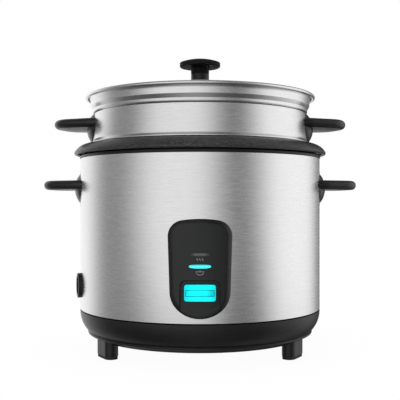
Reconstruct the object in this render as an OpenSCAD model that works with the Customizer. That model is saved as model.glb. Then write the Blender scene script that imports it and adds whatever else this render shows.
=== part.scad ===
// Drum rice cooker with a steamer on the inner pot and a glass lid inside the steamer's neck.
// Millimetres. +Z is up, the floor is z = 0, the control panel faces -Y and the power inlet is on the left.

/* [Fits] */
// Gap between lift-off pieces where one rests on the other
seat_gap = 0.3; // [0.2:0.05:0.5]
// Gap around pieces that are pushed together and stay
slip = 0.15; // [0.1:0.05:0.3]
// Radial clearance of the lever's hinge pin
pin_gap = 0.08; // [0.04:0.01:0.1]

/* [Shell and collar] */
// Outer radius of the steel shell
shell_r = 130; // [124:1:140]
// Thickness of the shell's sheet
shell_t = 0.8; // [0.5:0.1:1.2]
// Height of the steel between base and collar
shell_h = 159.8; // [154:0.2:168]
// Height of the collar's outer lip
collar_lip_h = 3.5; // [2.5:0.1:4.5]
// How far the lip stands out past the shell
collar_lip_out = 0.5; // [0.2:0.1:1.2]
// Height of the pot's seat above the shell
collar_seat_h = 13.2; // [12.4:0.2:15]
// Wall of the collar and of the base's rim inside the shell
spigot_t = 2.4; // [1.8:0.1:3]
// Depth of those rims inside the shell
spigot_h = 7; // [5:0.5:10]
// Thickness of the collar's web over the liner
collar_web_t = 2.8; // [2:0.1:4]

/* [Base, cover and feet] */
// Height of a foot with its pad
foot_h = 15.5; // [12:0.5:20]
// Thickness of the rubber pad
pad_h = 3; // [2:0.2:5]
// Length of a foot round the base
foot_l = 32; // [26:1:40]
// Width of a foot
foot_w = 14.4; // [12:0.2:17]
// How far a foot's outer face lies inside the shell's radius
foot_inset = 13.4; // [13.2:0.2:18]
// Diameter of the peg that holds a pad
pad_peg_d = 7; // [5:0.5:9]
// Height of the bottom cover's band
cover_h = 6; // [5:0.5:9]
// How far the cover's band lies inside the shell's radius
cover_inset = 13; // [11:0.5:15]
// How far the cover's band slopes in
cover_slope = 5; // [3:0.2:6]
// Wall of the cover and of the base
plastic_t = 2.4; // [2:0.1:3]
// Height of the base between cover and shell
base_h = 24.5; // [21:0.5:30]
// How far the base curves in towards its foot
base_curve_in = 10.5; // [8:0.5:11.5]
// Height of the base's upright top band
base_band_h = 2; // [1:0.2:4]
// Width of the base's bottom flange
base_flange_w = 18; // [16:0.5:22]
// Number of vent slots in the cover
vent_count = 18; // [8:1:24]
// Length of a vent slot
vent_l = 20; // [12:1:26]
// Width of a vent slot
vent_w = 4; // [3:0.5:5]

/* [Inner pot] */
// From the shell's outside to the pot's outside
pot_gap = 18; // [17:0.5:20]
// Wall of the pot
pot_t = 2; // [1.5:0.1:2.5]
// Radius of the pot's bottom corner
pot_corner_r = 18; // [10:1:26]
// Radius where the wall turns out into the rim
pot_neck_r = 1.5; // [1:0.1:2.5]
// Width of the flat part of the rim
rim_flat_w = 9.6; // [9:0.2:10.6]
// Radius of the rim's dome, on its underside
rim_dome_r = 14.6; // [13:0.2:15.5]
// Angle at which the dome ends in its rolled edge
rim_end_angle = 28; // [24:1:32]
// Radius of the rolled edge
rim_roll_r = 1.9; // [1.4:0.1:2.2]

/* [Steamer] */
// Sheet thickness of the steamer
steamer_t = 1.2; // [0.8:0.1:1.4]
// Gap between the nested skirt and the pot's wall
nest_gap = 1.4; // [0.8:0.1:2.5]
// How far the skirt reaches down into the pot
nest_h = 16.8; // [12:0.4:24]
// How far the wall stands out past the skirt
shoulder_w = 6.5; // [5.5:0.1:7.5]
// Height of the wall from the shoulder to the cove under the neck
steamer_wall_h = 37.8; // [33:0.2:44]
// How far the wall spreads at its foot
steamer_foot_out = 1.2; // [0.6:0.1:1.6]
// Height of the rounded bead on the wall
bead_out = 0.9; // [0.6:0.1:1.1]
// Radius of the cove under the neck, which carries the lid
cove_r = 2.6; // [2:0.1:3.4]
// Radius of the neck's lower edge
neck_edge_r = 1.4; // [1.3:0.1:2]
// Height of the upright neck over its edge
neck_h = 3.6; // [2:0.2:6]
// Radius of the flare under the rim
flare_r = 6.1; // [5:0.1:8]
// Sweep of the flare
flare_angle = 60; // [45:1:70]
// Radius of the rolled rim
steamer_roll_r = 2.3; // [1.9:0.1:2.6]
// Rings of holes in the steamer's floor
hole_rings = 3; // [2:1:4]
// Spacing of the rings of holes
hole_pitch = 26; // [22:1:28]
// Diameter of a steam hole
hole_d = 7; // [5:0.5:9]

/* [Lid and knob] */
// Play of the lid in the steamer's neck
lid_play = 0.8; // [0.5:0.1:1.5]
// Sheet of the lid's steel band
band_t = 0.8; // [0.6:0.1:1.1]
// Width of the band over the glass
band_w = 4.6; // [4:0.2:7]
// Thickness of the glass
glass_t = 4; // [3:0.2:5]
// Rise of the glass dome
glass_rise = 20.5; // [17:0.5:23]
// Where the steam vent sits, from the centre
vent_x = 62; // [45:1:80]
// Diameter of the steam vent
vent_d = 7; // [5:0.5:9]
// Diameter of the knob's cap
knob_d = 44.4; // [38:0.2:52]
// Height of the cap's upright edge
knob_edge_h = 4; // [3:0.2:6]
// Rise of the cap's crown
knob_crown_h = 5.7; // [4:0.1:8]
// Diameter of the knob's stem
stem_d = 19.8; // [17:0.2:24]
// Height of the stem above its collar
stem_h = 8; // [6:0.2:12]
// Height of the collar under the stem
knob_collar_h = 10; // [7:0.5:14]
// How far the collar spreads at the glass
knob_collar_flare = 2.4; // [1:0.2:4]
// Thickness of a silicone gasket
gasket_t = 1; // [0.8:0.1:1.5]
// Diameter of the knob's screw
knob_screw_d = 5; // [4:0.5:6]

/* [Handles] */
// How far the body handle's plate lies under the top of the shell
body_handle_down = 28.3; // [24:0.1:40]
// How far the body handle reaches past the shell
body_handle_reach = 41; // [34:0.5:48]
// Height of the steamer handle's plate over the shoulder
steamer_handle_up = 22; // [20:0.2:23]
// How far the steamer handle reaches past the steamer's wall
steamer_handle_reach = 44.4; // [36:0.4:52]
// Thickness of a handle's plate
handle_t = 9.4; // [8:0.2:11]
// Width of a handle at the wall
handle_w = 74; // [66:1:78]
// Radius of a handle's outer end
handle_tip_r = 27; // [22:0.5:29]
// Width of the handle's rosette
rosette_w = 80; // [76:1:84]
// Height of the body handle's rosette
rosette_h = 30.8; // [26:0.2:32]
// How far it stands out from the wall
rosette_out = 6.8; // [5.6:0.2:8]
// How far its middle lies under the plate's
rosette_drop = 4.2; // [2.8:0.2:5]
// Height of the steamer handle's rosette
steamer_rosette_h = 33.4; // [29:0.2:34]
// How far it stands out from the wall
steamer_rosette_out = 10.6; // [8:0.2:12]
// How far its middle lies under the plate's
steamer_rosette_drop = 5; // [3.6:0.2:5.2]
// Distance between a handle's two screws
handle_screw_pitch = 36; // [28:1:44]
// Diameter of the screws in handles and panel
screw_d = 3.4; // [2.6:0.2:4]
// How far a screw reaches into a handle
handle_screw_bite = 4; // [3:0.2:5]

/* [Control panel] */
// Height of the panel's lower edge over the shell's
panel_up = 5.7; // [4:0.1:9]
// Height of the panel
panel_h = 92; // [88:0.5:98]
// Width of the panel near its top
panel_w = 59.3; // [54:0.1:64]
// Width where its round lower end starts
panel_low_w = 55.4; // [50:0.2:59]
// Height of the round lower end
panel_low_h = 24; // [20:0.5:28]
// Radius of the top corners
panel_corner_r = 12; // [8:0.5:15]
// How far the panel's face stands out from the shell
panel_out = 3.8; // [3.4:0.1:4.6]
// Height of the panel's edge on the shell
panel_edge_h = 1.2; // [0.8:0.1:1.8]
// Width of the bevel round the face
panel_bevel_w = 4.5; // [3:0.1:6]
// Distance from the panel's top to the warm lens
warm_drop = 32.6; // [28:0.2:38]
// Distance between the two lenses
lens_pitch = 11.3; // [10:0.1:13]
// Width of a lens
lens_w = 20.4; // [17:0.2:23]
// Height of a lens
lens_h = 4.4; // [3.6:0.1:5.2]
// How far a lens stands out from the face
lens_out = 0.4; // [0.2:0.1:0.8]
// Lip that holds a lens behind the panel
lens_lip = 1.2; // [0.8:0.1:1.6]
// Width of the arched recess round the key
arch_w = 37.5; // [36:0.5:41]
// Radius of the arch's corners
arch_r = 5.5; // [4:0.5:8]
// Room between key and arch
arch_gap = 3.6; // [2.5:0.1:4.5]
// Depth of the recess
arch_depth = 2.8; // [2:0.1:2.9]
// Distance between the lamp board and the shell's outside
board_in = 6; // [5:0.1:6.5]
// Thickness of the lamp board
board_t = 1.6; // [1:0.1:2]
// Width of the lamp board
board_w = 37; // [35:0.5:40]
// Height of the lamp board
board_h = 26; // [22:0.5:30]
// Diameter of a lamp
lamp_d = 5; // [3:0.5:5.5]

/* [Cook key and lever] */
// Width of the cook key
key_w = 29.8; // [26:0.2:31]
// Height of the cook key
key_h = 15.9; // [14:0.1:18]
// Thickness of the cook key
key_t = 3.2; // [2.8:0.1:4]
// Gap between the key's back and the floor of the recess
key_gap = 1.2; // [1:0.1:2]
// Radius of the key's corners
key_corner_r = 2.4; // [1.5:0.1:3.5]
// Height of the band sunk in the key
key_band_h = 5.8; // [4:0.1:7]
// Depth of that band
key_band_depth = 0.9; // [0.5:0.1:1.2]
// Height of the key's middle over the arm's
key_over_arm = 0.6; // [0.2:0.1:2]
// Thickness of the lever's arm
arm_t = 3.6; // [3.2:0.1:5]
// Width of the lever's arm
arm_w = 12; // [10:0.5:13]
// Gap between the arm and the liner above it
arm_gap = 0.6; // [0.5:0.1:1.5]
// Gap beside the arm, in its slot and in its bracket
arm_side_gap = 1.5; // [1:0.1:2]
// Distance of the hinge pin in front of the axis
pivot_y = 70; // [66:0.5:74]
// Depth of the hinge pin under the liner
pivot_drop = 22; // [20:0.5:25]
// Diameter of the hinge pin
pin_d = 4; // [3:0.2:4.4]
// Angle that the key travels
lever_travel = 5.2; // [4.6:0.2:7]
// Distance of the switch's button in front of the pin
button_y = 28; // [26:0.5:30]
// Depth of the lug that presses the button, under the pin
lug_drop = 3; // [2:0.2:4]
// Sheet of the lever's bracket
bracket_t = 2; // [1.5:0.1:2.5]
// Length of the microswitch
switch_l = 20; // [18:0.5:22]
// Width of the microswitch
switch_w = 13; // [10:0.5:14]
// Height of the microswitch
switch_h = 14.8; // [13:0.2:16]
// How far the button stands out of the switch
button_out = 4.9; // [4.4:0.1:5.5]
// Diameter of the button
button_d = 4; // [3:0.2:5]

/* [Heater and thermostat] */
// Height of the room for the works, from the top of the base to the liner
works_h = 31; // [30:0.2:36]
// Gap between the pot and the collar's inside
collar_air = 5.8; // [5:0.1:6.5]
// Sheet of the liner cup
liner_t = 0.6; // [0.4:0.1:1]
// Radius of the liner's bottom corner
liner_corner_r = 8; // [5:0.5:12]
// Radius of the heating plate
plate_r = 88; // [80:1:90]
// Thickness of the heating plate
plate_t = 11.7; // [10:0.1:13]
// Height of the posts under the plate
post_h = 6.4; // [5.5:0.1:8]
// Diameter of a post
post_d = 10; // [8:0.5:12]
// Where the posts stand, from the axis
post_r = 75; // [68:1:78]
// Radius of the hole in the plate's middle
plate_hole_r = 23; // [22.6:0.1:25]
// Radius of the thermostat's cap
cap_r = 19.5; // [19.2:0.1:20]
// Thickness of the cap
cap_t = 3; // [2:0.2:4]
// How far the cap gives under a pot
cap_travel = 3; // [2:0.2:3.4]
// Outer radius of the can under the cap
can_r = 15; // [14.5:0.1:15.5]
// Wall of the can and of the guide
can_t = 1; // [0.8:0.1:1.2]
// Outer radius of the guide
guide_r = 22; // [21.6:0.1:22.4]
// Height of the guide below the cap's underside
guide_drop = 26.7; // [25:0.1:28]
// Turns of the thermostat's spring
spring_turns = 6; // [4:1:8]
// Wire of the spring
spring_wire = 1.2; // [0.8:0.1:1.4]
// Height of the ferrite under the cap
ferrite_h = 7.5; // [6:0.1:8.4]
// Height of the lift magnet
magnet_h = 7; // [5:0.2:7.4]
// Diameter of the magnet's rod
rod_d = 6; // [4:0.5:8]
// Where a heater terminal stands beside the middle
terminal_x = 30; // [24:1:40]
// Where the terminals stand behind the middle
terminal_y = 62; // [56:1:66]
// Lower edge of the keep-warm band over the liner's floor
warm_band_up = 48; // [44:1:60]
// Height of the keep-warm band
warm_band_h = 25; // [16:1:34]

/* [Power inlet] */
// Height of the inlet over the shell's lower edge
inlet_up = 25.6; // [24.6:0.2:27]
// Angle of the inlet from the left side, towards the front
inlet_angle = 14.5; // [8:0.5:20]
// Diameter of the inlet's flange
inlet_flange_d = 26; // [25:0.5:30]
// How far the flange stands out from the shell
inlet_out = 3.8; // [3.2:0.1:5]
// Outer diameter of the socket
inlet_tube_d = 23.4; // [22.6:0.2:24.4]
// Wall of the socket
inlet_wall = 2; // [1.5:0.1:2.5]
// Diameter of a contact pin
contact_d = 2.6; // [2:0.1:3.2]
// Where the pins stand, from the socket's middle
contact_r = 5.6; // [5.2:0.1:6.2]
// How far the pins lie inside the socket's mouth
contact_in = 3; // [2:0.2:5]
// Length of the pins' tails
contact_tail = 6; // [4:0.5:8]
// Diameter of an inner wire
wire_d = 2.6; // [2:0.2:3]

/* [Hidden] */
$fn = 96;
// Spare length of a cutting tool past the piece that it cuts
past = 1;
// Angles in plan: 0 is the right side, and the front is -90
FRONT = -90;
RIGHT = 0;
LEFT = 180;
FOOT_ANGLES = [FRONT - 60, FRONT + 60, FRONT + 180];
BASE_SCREW_ANGLES = [FRONT + 30, FRONT + 150, FRONT + 270];
inlet_a = LEFT + inlet_angle;

// Levels from the floor up
cover_z = foot_h;
base_z = cover_z + cover_h;
shell_z = base_z + base_h;
shell_top = shell_z + shell_h;
collar_lip_z = shell_top + collar_lip_h;
collar_web_z = shell_top - collar_web_t;
seat_z = shell_top + collar_seat_h;
pot_rest_z = seat_z + seat_gap;
liner_z = shell_z + works_h;
liner_floor_top = liner_z + liner_t;
plate_z = liner_floor_top + post_h;
plate_top = plate_z + plate_t;
pot_z = plate_top + seat_gap;
shoulder_z = pot_rest_z + pot_t + seat_gap;
steamer_floor_z = shoulder_z - nest_h;
ledge_z = shoulder_z + steamer_wall_h;
lid_z = ledge_z + cove_r + steamer_t + seat_gap;

// Radii from the axis out
shell_in_r = shell_r - shell_t;
spigot_r = shell_in_r - slip;
spigot_in_r = spigot_r - spigot_t;
pot_r = shell_r - pot_gap;
pot_in_r = pot_r - pot_t;
collar_in_r = pot_r + collar_air;
liner_r = collar_in_r + liner_t / 3;
rim_flat_r = pot_r + rim_flat_w;
collar_seat_r = rim_flat_r - slip;
skirt_r = pot_in_r - nest_gap;
steamer_r = skirt_r + shoulder_w;
neck_r = steamer_r + cove_r + neck_edge_r;
cover_r = shell_r - cover_inset;
foot_r = shell_r - foot_inset;
foot_mid_r = foot_r - foot_w / 2;
base_flange_r = cover_r - base_flange_w;
base_screw_r = base_flange_r + 5;

// Base screws
base_screw_d = 3;
base_screw_l = 9;
base_boss_r = 4;
base_head_r = 3;
base_head_h = 2;

// Wall screws of handles and panel
screw_head_r = 3.2;
screw_head_h = 2;
PANEL_SCREWS = [[-18, 82], [18, 82], [-21, 19], [21, 19]];
panel_screw_bite = 2.4;

// Handles
body_handle_z = shell_top - body_handle_down;
steamer_handle_z = shoulder_z + steamer_handle_up;
// The rosette is an ellipsoid whose middle lies this far inside the wall
rosette_in = 8;
body_screw_z = body_handle_z - rosette_drop;
steamer_screw_z = steamer_handle_z - steamer_rosette_drop;

// Control panel
panel_z = shell_z + panel_up;
panel_top = panel_z + panel_h;
panel_back_r = shell_r + slip;
panel_face_r = shell_r + panel_out;
panel_low_z = panel_z + panel_low_h;
// The top edge is a flat arc that meets the corners at this angle
panel_corner_a = 80;
panel_corner_x = panel_w / 2 - panel_corner_r;
panel_top_r = panel_corner_r + panel_corner_x / cos(panel_corner_a);
panel_corner_z = panel_top - panel_top_r + (panel_top_r - panel_corner_r) * sin(panel_corner_a);
warm_z = panel_top - warm_drop;
cook_z = warm_z - lens_pitch;
lens_back_r = shell_r - 2;
lens_lip_r = shell_r - 0.5;
lens_blunt = 0.4;
board_z = (warm_z + cook_z) / 2;
board_front_y = -(shell_r - board_in);
board_post_x = board_w / 2 - 3;
board_post_r = 2.4;
board_screw_d = 2;
board_head_r = 1.9;
board_head_h = 1.2;
lamp_window_h = board_h + 2;
lamp_window_w = board_w + 2;

// Lever
arm_z = liner_z - arm_gap - arm_t / 2;
key_z = arm_z + key_over_arm;
arch_floor_r = panel_face_r - arch_depth;
key_back_y = -(arch_floor_r + key_gap);
key_bite = key_t / 2;
key_drop = (-key_back_y - pivot_y) * sin(lever_travel);
pivot_z = liner_z - pivot_drop;
arm_knee_y = -pivot_y - 36;
arm_foot_y = -pivot_y - 18;
arm_boss_r = pin_d / 2 + 3;
slot_w = arm_w + 2 * arm_side_gap;
slot_gap = 0.8;
slot_top = arm_z + arm_t / 2 + 2;
slot_bottom = arm_z - arm_t / 2 - key_drop - slot_gap;
arch_bottom = key_z - key_h / 2 - key_drop - 1;
arch_top = key_z + key_h / 2 + arch_gap;
arch_ramp = 5;
bracket_in = arm_w / 2 + arm_side_gap;
bracket_x = bracket_in + bracket_t;
lug_z = pivot_z - lug_drop;
button_top = lug_z - seat_gap;
switch_top = button_top - button_out;
switch_z = switch_top - switch_h;
switch_y = -pivot_y - button_y;
// The button goes down as far as the lug's front edge does
button_arm = button_y + button_d / 2;
button_travel = button_arm * sin(lever_travel) + 0.1;
button_l = button_out + button_travel;

// Thermostat, with its levels hung from the cap's underside
cap_z = plate_top - cap_t;
guide_z = cap_z - guide_drop;
can_z = guide_z + can_t + cap_travel + seat_gap;
guide_top = plate_z + 4;
spring_r = (can_r + guide_r - can_t) / 2;
ferrite_z = cap_z - ferrite_h;
magnet_r = can_r - can_t - 1.5;
guide_hole_r = can_r - can_t / 2 - 0.9;
rod_reach = rod_d / 2;
// The arm's end lifts the rod by this much
rod_lift = (pivot_y + rod_reach) * sin(lever_travel) + 0.05;
rod_z = pivot_z + arm_t / 2 + seat_gap;
magnet_z = ferrite_z - seat_gap - cap_travel - rod_lift - magnet_h;

// Heater terminals and thermal fuse
bush_r = 4.5;
bush_below = 1;
terminal_d = 3.2;
terminal_h = 8;
terminal_z = liner_z - bush_below - terminal_h;
fuse_at = [-45, 25];
fuse_r = 3;
fuse_l = 22;
fuse_z = liner_z - fuse_r - 0.6;
clip_l = 6;
clip_w = 10;

// Power inlet, in a frame whose +X points out of the shell
inlet_z = shell_z + inlet_up;
inlet_face = shell_r + inlet_out;
inlet_end = liner_r + 1.5;
inlet_floor = inlet_end + inlet_wall;
contact_tip = inlet_face - contact_in;
contact_end = inlet_end - contact_tail;
inlet_nut_r = inlet_tube_d / 2 + 3;
inlet_nut_t = 2;
CONTACTS = [for (a = [270, 30, 150]) contact_r * [cos(a), sin(a)]];
// The end of a contact's tail in the part's frame
function tail(k) = [contact_end * cos(inlet_a) - CONTACTS[k].x * sin(inlet_a),
    contact_end * sin(inlet_a) + CONTACTS[k].x * cos(inlet_a), inlet_z + CONTACTS[k].y];
// The wires' middle points
EARTH_WIRE = [[-98, -27, 62], [-90, -23, 62], [-84.3, -20, 67]];
FUSE_WIRE = [[-97, -17, 69], [-84, 4, 61], [-72, 20, 66], [-63, 24.5, 72]];
LINK_WIRE = [[-29, 26, 71.5], [-25, 38, 63], [-28, 54, 59]];
RETURN_WIRE = [[-93, -36, 66], [-72, -24, 54], [-32, 16, 47], [6, 42, 48], [26, 56, 55]];

// Points of an arc about [x, y]
function arc(x, y, r, from, to, steps) =
    [for (i = [0:steps]) let (a = from + (to - from) * i / steps) [x + r * cos(a), y + r * sin(a)]];

// Points of a path in reverse order
function back(path) = [for (i = [len(path) - 1:-1:0]) path[i]];

// Unit normal on the left of the way from a to b
function left_of(a, b) = let (d = b - a) [-d.y, d.x] / norm(d);

// A path moved to its left by t, mitred at its corners
function beside(path, t) = let (last = len(path) - 1)
    [for (i = [0:last])
        let (before = left_of(path[max(i - 1, 0)], path[max(i, 1)]),
            after = left_of(path[min(i, last - 1)], path[min(i + 1, last)]),
            m = before + after)
        path[i] + 2 * t * m / (m * m)];

// A sheet whose one face is the path and whose thickness lies on its left
module sheet(path, t) polygon(concat(path, back(beside(path, t))));

// A ring between two radii and two levels
module tube(outer, inner, from, to) {
    difference() {
        translate([0, 0, from]) cylinder(r = outer, h = to - from);
        translate([0, 0, from - past]) cylinder(r = inner, h = to - from + 2 * past);
    }
}

// A rod along +X from one place to another
module rod_x(d, from, to) translate([from, 0, 0]) rotate([0, 90, 0]) cylinder(d = d, h = to - from);

// A drawing in x and z, carried from one depth to another towards the front
module carry_front(from, to) translate([0, -from, 0]) rotate([90, 0, 0]) linear_extrude(to - from) children();

// A drawing in y and z, carried across the middle by a width
module carry_across(width) {
    translate([-width / 2, 0, 0]) rotate([90, 0, 90]) linear_extrude(width) children();
}

// A rectangle with round corners about the origin
module rounded(w, h, r) {
    square([w - 2 * r, h], center = true);
    square([w, h - 2 * r], center = true);
    for (x = [-1, 1], y = [-1, 1]) translate([x * (w / 2 - r), y * (h / 2 - r)]) circle(r);
}

// A tube of round wire along points, with square ends
function unit(v) = v / norm(v);
function heading(path, i) = unit(path[min(i + 1, len(path) - 1)] - path[max(i - 1, 0)]);
function wire_ring(path, i, r, sides) =
    let (d = heading(path, i),
        flat = norm([d.x, d.y]) > 0.2 ? [0, 0, 1] : [path[i].x, path[i].y, 0],
        u = unit(cross(d, flat)),
        v = cross(d, u))
    [for (k = [0:sides - 1]) path[i] + r * (cos(360 * k / sides) * u + sin(360 * k / sides) * v)];
module wire(path, r, sides) {
    last = len(path) - 1;
    points = [for (i = [0:last]) each wire_ring(path, i, r, sides)];
    walls = [for (i = [0:last - 1], k = [0:sides - 1])
        let (a = i * sides + k, b = i * sides + (k + 1) % sides)
        each [[a, b, b + sides], [a, b + sides, a + sides]]];
    start = [for (k = [1:sides - 2]) [0, k + 1, k]];
    end = [for (k = [1:sides - 2]) last * sides * [1, 1, 1] + [0, k, k + 1]];
    polyhedron(points, concat(walls, start, end), convexity = 10);
}

// A path smoothed by a spline through its points
function spline(p, steps) = let (last = len(p) - 1)
    concat([for (i = [0:last - 1], s = [0:steps - 1])
        let (a = p[max(i - 1, 0)], b = p[i], c = p[i + 1], d = p[min(i + 2, last)], t = s / steps)
        b + t / 2 * (c - a) + t * t / 2 * (2 * a - 5 * b + 4 * c - d)
            + t * t * t / 2 * (3 * b - a - 3 * c + d)],
        [p[last]]);

// A screw along +X whose flat head seats inside a round wall, aside from the middle by y
function head_seat(wall_in_r, y) = sqrt(pow(wall_in_r, 2) - pow(abs(y) + screw_head_r, 2)) - slip / 3;
module wall_screw(wall_in_r, y, z, tip) {
    seat = head_seat(wall_in_r, y);
    translate([0, y, z]) {
        rod_x(screw_d, seat - screw_head_h / 2, tip);
        rod_x(2 * screw_head_r, seat - screw_head_h, seat);
    }
}

// Holes for such screws
module wall_screw_hole(y, z, gap, from, to) translate([0, y, z]) rod_x(screw_d + 2 * gap, from, to);

// Outer shell with its openings behind the panel, for the lever, the inlet and the handles' screws
module outer_shell() {
    color("silver") difference() {
        tube(shell_r, shell_in_r, shell_z, shell_top);
        carry_front(spigot_in_r, shell_r + past) {
            translate([0, board_z]) square([lamp_window_w, lamp_window_h], center = true);
            translate([-slot_w / 2, slot_bottom]) square([slot_w, slot_top - slot_bottom]);
        }
        rotate([0, 0, FRONT]) panel_screw_holes(slip, spigot_in_r, shell_r + past);
        rotate([0, 0, inlet_a]) translate([0, 0, inlet_z])
            rod_x(inlet_tube_d + 2 * slip, spigot_in_r, shell_r + past);
        for (side = [LEFT, RIGHT]) rotate([0, 0, side])
            handle_screw_holes(body_screw_z, slip, spigot_in_r - 4, shell_r + past);
    }
}

// Plastic collar: an outer lip over the shell, a skirt inside it and the seat that carries the pot
module top_collar() {
    lip_r = shell_r + collar_lip_out;
    chamfer = 0.8;
    color([0.19, 0.19, 0.19]) rotate_extrude() polygon([
        [lip_r, shell_top], [lip_r, collar_lip_z - chamfer], [lip_r - chamfer, collar_lip_z],
        [shell_r - spigot_t, collar_lip_z], [collar_seat_r + chamfer, seat_z - chamfer],
        [collar_seat_r, seat_z], [collar_in_r, seat_z], [collar_in_r, collar_web_z],
        [spigot_in_r, collar_web_z], [spigot_in_r, shell_top - spigot_h],
        [spigot_r, shell_top - spigot_h], [spigot_r, shell_top]]);
}

// Outer or inner curve of the base: an upright band over an elliptic sweep towards the cover
base_sweep_h = base_h - base_band_h;
// The ellipse reaches this far below the base, so that its lower end still slopes
base_tuck = 4.5;
base_ellipse_h = base_sweep_h + base_tuck;
base_ellipse_w = base_curve_in / (1 - cos(asin(base_sweep_h / base_ellipse_h)));
function base_curve(t) =
    let (low = -asin((base_sweep_h - t) / (base_ellipse_h - t)))
    [for (i = [0:10]) let (a = low * (1 - i / 10))
        [shell_r - base_ellipse_w + (base_ellipse_w - t) * cos(a),
            shell_z - base_band_h + (base_ellipse_h - t) * sin(a)]];

// Black base: curved outer wall, rim inside the shell and a bottom flange with screw bosses
module base_ring() {
    outer = base_curve(0);
    inner = base_curve(plastic_t);
    shadow = 0.8;
    color([0.15, 0.15, 0.15]) difference() {
        union() {
            rotate_extrude() polygon(concat(outer,
                [[shell_r, shell_z - shadow], [shell_r - shadow, shell_z], [spigot_r, shell_z],
                    [spigot_r, shell_z + spigot_h], [spigot_in_r, shell_z + spigot_h]],
                back(inner),
                [[base_flange_r, base_z + plastic_t], [base_flange_r, base_z]]));
            for (a = BASE_SCREW_ANGLES) rotate([0, 0, a]) translate([base_screw_r, 0, base_z])
                cylinder(r = base_boss_r, h = base_screw_l + past);
        }
        for (a = BASE_SCREW_ANGLES) rotate([0, 0, a]) translate([base_screw_r, 0, base_z - past])
            cylinder(d = base_screw_d + 2 * pin_gap, h = base_screw_l - cover_h + base_head_h + 2 * past);
    }
}

// A foot: a bar along the ring with round ends, shrunk by inset
module foot_body(from, to, inset) {
    half = foot_w / 2 - inset;
    end = foot_l / 2 - foot_w / 2;
    translate([foot_mid_r, 0, from]) linear_extrude(to - from)
        polygon(concat(arc(0, end, half, 0, 180, 12), arc(0, -end, half, 180, 360, 12)));
}

// Bottom cover: a dish with three feet, posts for its screws and a ring of vent slots
module bottom_cover() {
    edge = 1;
    sink = base_head_h + 0.6;
    color([0.17, 0.17, 0.17]) difference() {
        union() {
            rotate_extrude() polygon([
                [0, cover_z], [cover_r - cover_slope, cover_z], [cover_r, base_z - edge], [cover_r, base_z],
                [cover_r - plastic_t, base_z], [cover_r - cover_slope - 0.4 * plastic_t, cover_z + plastic_t],
                [0, cover_z + plastic_t]]);
            for (a = FOOT_ANGLES) rotate([0, 0, a]) foot_body(pad_h, base_z - edge, 0);
            for (a = BASE_SCREW_ANGLES) rotate([0, 0, a]) translate([base_screw_r, 0, cover_z])
                cylinder(r = base_boss_r, h = cover_h);
        }
        for (a = FOOT_ANGLES) rotate([0, 0, a]) translate([foot_mid_r, 0, pad_h - past])
            cylinder(d = pad_peg_d + 2 * slip, h = pad_h + past + slip);
        for (a = BASE_SCREW_ANGLES) rotate([0, 0, a]) translate([base_screw_r, 0, cover_z]) {
            translate([0, 0, -past]) cylinder(d = base_screw_d + 2 * slip, h = cover_h + 2 * past);
            translate([0, 0, -past]) cylinder(r = base_head_r + 2 * slip, h = sink + past);
        }
        for (i = [0:vent_count - 1]) rotate([0, 0, (i + 0.5) * 360 / vent_count])
            translate([foot_mid_r - foot_w - vent_l, 0, cover_z - past]) linear_extrude(plastic_t + 2 * past)
                polygon(concat(arc(vent_w / 2, 0, vent_w / 2, 90, 270, 4),
                    arc(vent_l - vent_w / 2, 0, vent_w / 2, -90, 90, 4)));
    }
}

// Rubber pads with the pegs that hold them in the feet
module foot_pads() {
    rim = 0.5;
    color([0.1, 0.1, 0.1]) for (a = FOOT_ANGLES) rotate([0, 0, a]) {
        foot_body(0, pad_h, rim);
        translate([foot_mid_r, 0, pad_h / 2]) cylinder(d = pad_peg_d, h = pad_h * 3 / 2);
    }
}

// Screws that hold the cover to the base
module base_screws() {
    color("gray") for (a = BASE_SCREW_ANGLES) rotate([0, 0, a]) translate([base_screw_r, 0, cover_z + 0.6]) {
        cylinder(r = base_head_r, h = base_head_h);
        cylinder(d = base_screw_d, h = base_screw_l);
    }
}

// A flat round disc with a half-round edge
module puck(r, t) rotate_extrude($fn = 32) {
    translate([r - t / 2, 0]) circle(d = t, $fn = 12);
    translate([0, -t / 2]) square([r - t / 2, t]);
}

// Holes for a handle's two screws
module handle_screw_holes(z, gap, from, to) {
    for (y = [-1, 1] * handle_screw_pitch / 2) wall_screw_hole(y, z, gap, from, to);
}

// Ear handle along +X: a solid D-shaped plate with a round edge on a convex rosette, less its children
module handle(wall_r, reach, z, out, tall, drop) {
    depth = rosette_in + out;
    half = tall / 2 / sqrt(1 - pow(rosette_in / depth, 2));
    color([0.16, 0.16, 0.16]) difference() {
        union() {
            hull() translate([0, 0, z]) {
                translate([wall_r - rosette_in, 0, 0]) puck(handle_w / 2, handle_t);
                translate([wall_r + reach - handle_tip_r, 0, 0]) puck(handle_tip_r, handle_t);
            }
            hull() translate([wall_r - rosette_in, 0, z - drop])
                scale([depth, rosette_w / 2, half]) sphere(1, $fn = 24);
        }
        translate([0, 0, z - handle_w]) cylinder(r = wall_r + slip, h = 2 * handle_w);
        children();
        handle_screw_holes(z - drop, pin_gap, wall_r - rosette_in, screw_tip(wall_r) + 0.4);
    }
}

// Where a handle's screws end
function screw_tip(wall_r) = sqrt(pow(wall_r, 2) - pow(handle_screw_pitch / 2, 2)) + handle_screw_bite;

module handle_screws(wall_r, wall_in_r, z) {
    color("gray") for (side = [LEFT, RIGHT], y = [-1, 1] * handle_screw_pitch / 2) rotate([0, 0, side])
        wall_screw(wall_in_r, y, z, screw_tip(wall_r));
}

module body_handle() handle(shell_r, body_handle_reach, body_handle_z, rosette_out, rosette_h, rosette_drop);
module body_handle_left() rotate([0, 0, LEFT]) body_handle();
module body_handle_right() rotate([0, 0, RIGHT]) body_handle();
module body_handle_screws() handle_screws(shell_r, shell_in_r, body_screw_z);

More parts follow.
